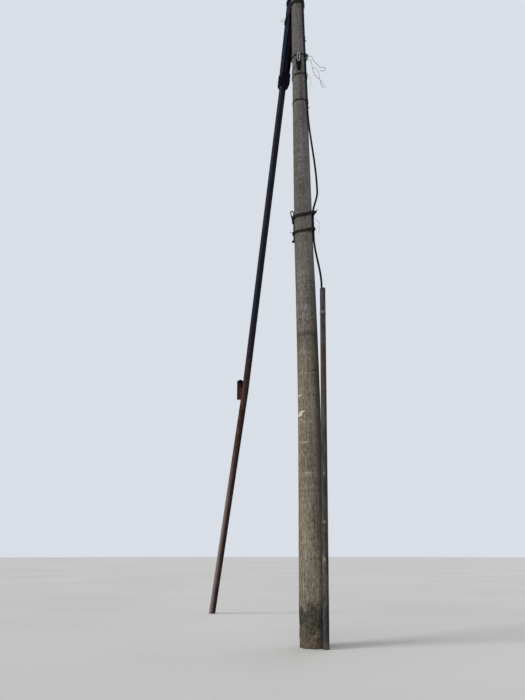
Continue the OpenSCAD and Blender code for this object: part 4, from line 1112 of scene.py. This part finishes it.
def make_loose_wires():
    """Thin curly wires at the right of the hanger, the twig at its clip, and the stay of the clamp."""
    wires = (
        (0.002, mm(
            (66, -45, 5790), (82.6, -50, 5777), (94.5, -50, 5784), (103, -50, 5803), (116.2, -50, 5812),
            (134, -50, 5800), (146, -52, 5765), (160, -55, 5735), (177.5, -60, 5706), (200, -60, 5672),
            (219.1, -60, 5651), (255, -60, 5645), (275, -60, 5640), (279.5, -60, 5628), (272, -60, 5610),
            (245, -60, 5598), (217.4, -60, 5597))),
        (0.002, mm(
            (82.6, -50, 5777), (94, -50, 5752), (105, -50, 5757), (117, -50, 5755), (127, -50, 5740),
            (132.5, -50, 5700), (138.9, -50, 5647), (145, -50, 5600), (148.2, -50, 5593), (158, -50, 5560),
            (173.6, -50, 5539), (190, -50, 5515), (210, -50, 5499), (218, -50, 5465), (222, -50, 5430),
            (236, -50, 5400), (243.6, -50, 5379))),
        (0.0016, mm(
            (140.5, -50, 5635), (160, -53, 5645), (180, -55, 5632), (197, -55, 5605), (205, -52, 5560),
            (208.5, -50, 5520), (214, -50, 5490), (235, -50, 5462), (252, -50, 5430), (262, -50, 5400),
            (275.5, -50, 5379))),
        (0.0012, mm(
            (76, -40, 5575), (94.4, -40, 5561), (108, -40, 5530), (117.5, -40, 5494), (116, -40, 5450),
            (106.4, -40, 5400))),
        (0.0028, mm((69, -46, 5125), (82, -46, 5120), (94, -46, 5124))),
        (0.0024, [on_pole(5.655 - 0.095 * t ** 1.6, 243 - 170 * t, 0.0032 + 0.012 * (1 - t) ** 8)
                  for t in np.linspace(0, 1, 24)]))
    parts = [strand(points, r, 0.006) for r, points in wires]
    parts.append(coil((0.0826, -0.05, 5.777), (1, 0.2, 0.1), 0.006, 0.0016, 2.5, 0.004, 1))
    piece("loose_wires", join(parts), "wire")


# Conduit and cable
def make_conduit():
    def threaded(z):
        r = CONDUIT_R - 0.0012 * step(z, CONDUIT_H - 0.003, CONDUIT_H)
        if 0.013 < abs(z - COUPLING_Z) < 0.03:
            r -= 0.0007 * (0.5 + 0.5 * math.sin(z * TAU / 0.0026))
        return r

    for name, *shape in (("lower", lambda z: CONDUIT_R, 0.0, COUPLING_Z, 0.01, 90, 0.0006),
                         ("upper", threaded, COUPLING_Z, CONDUIT_H, 0.2, 91, 0.0004)):
        piece("conduit_%s_worn" % name, hollow_pipe(*shape), "conduit", ["conduit_%s_pipe" % name], 50)
    edge = ((0, 0), (0.0014, 0), (0.002, 0.0012))
    ring = [(CONDUIT_R + q, h - COUPLING_HALF) for q, h in edge]
    ring += [(CONDUIT_R + q, COUPLING_HALF - h) for q, h in reversed(edge)]
    piece("conduit_coupling_turned", lathe(ring, conduit_at(COUPLING_Z), conduit_at(1) - conduit_at(0), 72),
          "grey_dirty", ["conduit_coupling"], 35)


def bend(a, away, b, into, count):
    """Points between a and b on a smooth line that leaves a and reaches b in the given directions."""
    far = np.linalg.norm(b - a)
    for t in np.arange(1, count) / count:
        yield (a * (2 * t ** 3 - 3 * t ** 2 + 1) + away * far * (t ** 3 - 2 * t ** 2 + t)
               + b * (3 * t ** 2 - 2 * t ** 3) + into * far * (t ** 3 - t ** 2))


def cable_line():
    """Down under the clips, away from the pole in a bow, under both wraps and into the conduit."""
    down = np.array([0, 0, -1.0])
    clipped = [on_pole(z, cable_az(z), CABLE_OUT) for z in np.arange(6.88, 5.19, -0.085)]
    leaves = on_pole(5.152, CLIP_AZ, CABLE_OUT)
    peak = polar(0.151, -17.5, 4.1)
    top, mid, foot = (on_pole(z, LASH_AZ, CABLE_OUT) for z in (3.845, 3.7275, 3.61))
    into = conduit_at(0) - conduit_at(1)
    into /= np.linalg.norm(into)
    aside = CONDUIT_BORE * np.array([-0.36, 0.27, 0])
    entry, *inside = (conduit_at(z) + aside for z in (3.032, 2.98, 2.9, 2.83))
    return [*clipped, leaves, *bend(leaves, down, peak, down, 12), peak, *bend(peak, down, top, down, 10),
            top, mid, foot, *bend(foot, down, entry, into, 12), entry, *inside]


def make_cable():
    line = curve(cable_line(), 0.011)
    piece("service_cable_round", tube(line, CABLE_R * (0.985 + 0.012 * lattice(line * 30, 5)), 22), "cable",
          ["service_cable"], 50)
    dressed("cable_end_boot", "plastic", 0.0008, 0.0012, 0.012, 37, 60)
    for name in ("low", "mid", "high"):
        dressed("cable_clip_" + name, "dark", 0.0006, 0.0003, 0.012, 38)


# Insulators
def make_insulators():
    bell = mm(
        (9.4, 30), (13.5, 24), (21.5, 16), (29.5, 7.5), (32.5, 3), (34.8, 0.8), (37.2, 0.4), (38.8, 1.8), (39.8, 5),
        (39.8, 9), (38.8, 13.5), (36.8, 19.5), (34.7, 25.5), (33.2, 31), (32.4, 37), (32.1, 45), (31.9, 51.5),
        (31.2, 55.3), (29.2, 58.3), (26, 61), (23.5, 63.8), (22.5, 67.2), (23.5, 70.6), (26, 73.4), (28.8, 75.8),
        (30.3, 78.5), (30.8, 82), (30.2, 86.2), (28.2, 89.8), (24.8, 92.7), (20, 94.6), (13, 95.5), (6, 95.8),
        (0.6, 95.8))
    nut = mm((9, 0), (13.5, 0.8), (14.5, 2.5), (13.5, 4.2), (9, 5))
    hemp = [(0.0115 + 0.0012 * math.sin(k * 2.1), 0.0515 + k * 0.0011) for k in range(14)]
    neck = 0.042
    for i in range(4):
        z = POLE_H - 0.115 - i * 0.135
        r = pole_r(z)
        x = r + 0.178
        side = -1 if i % 2 else 1
        path = [(r - 0.045 + 0.006 * k, 0.0) for k in range(30)]
        path += [(x - neck + neck * math.sin(a), neck - neck * math.cos(a))
                 for a in np.radians(range(0, 91, 6))]
        path += [(x, h) for h in (0.05, 0.06, 0.085)]
        line = resample([(side * q, 0, z + h) for q, h in path], 0.0035)
        out = np.abs(line[:, 0])
        radius = np.where(out < r + 0.03, 0.0085 + 0.0006 * np.sin(out * TAU / 0.007),
                          0.009 * (0.965 + 0.025 * lattice(line * 70, 60 + i)))
        node = "insulator_%d" % (i + 1)
        piece(node + "_glazed", lathe(bell, (side * x, 0, z + 0.054), sides=56), "porcelain", [node])
        hook = "insulator_hook_%d" % (i + 1)
        piece(hook + "_forged", join([tube(line, radius, 18), lathe(nut, (side * x, 0, z + 0.046), sides=24),
                                      lathe(hemp, (side * x, 0, z), sides=20)]), "rod", [hook])


for make in (make_camera, make_light, make_floor, make_shaft, make_brace, make_plate, make_head,
             make_middle_lashing, make_hanger, make_strap, make_loose_wires, make_conduit, make_cable,
             make_insulators):
    make()
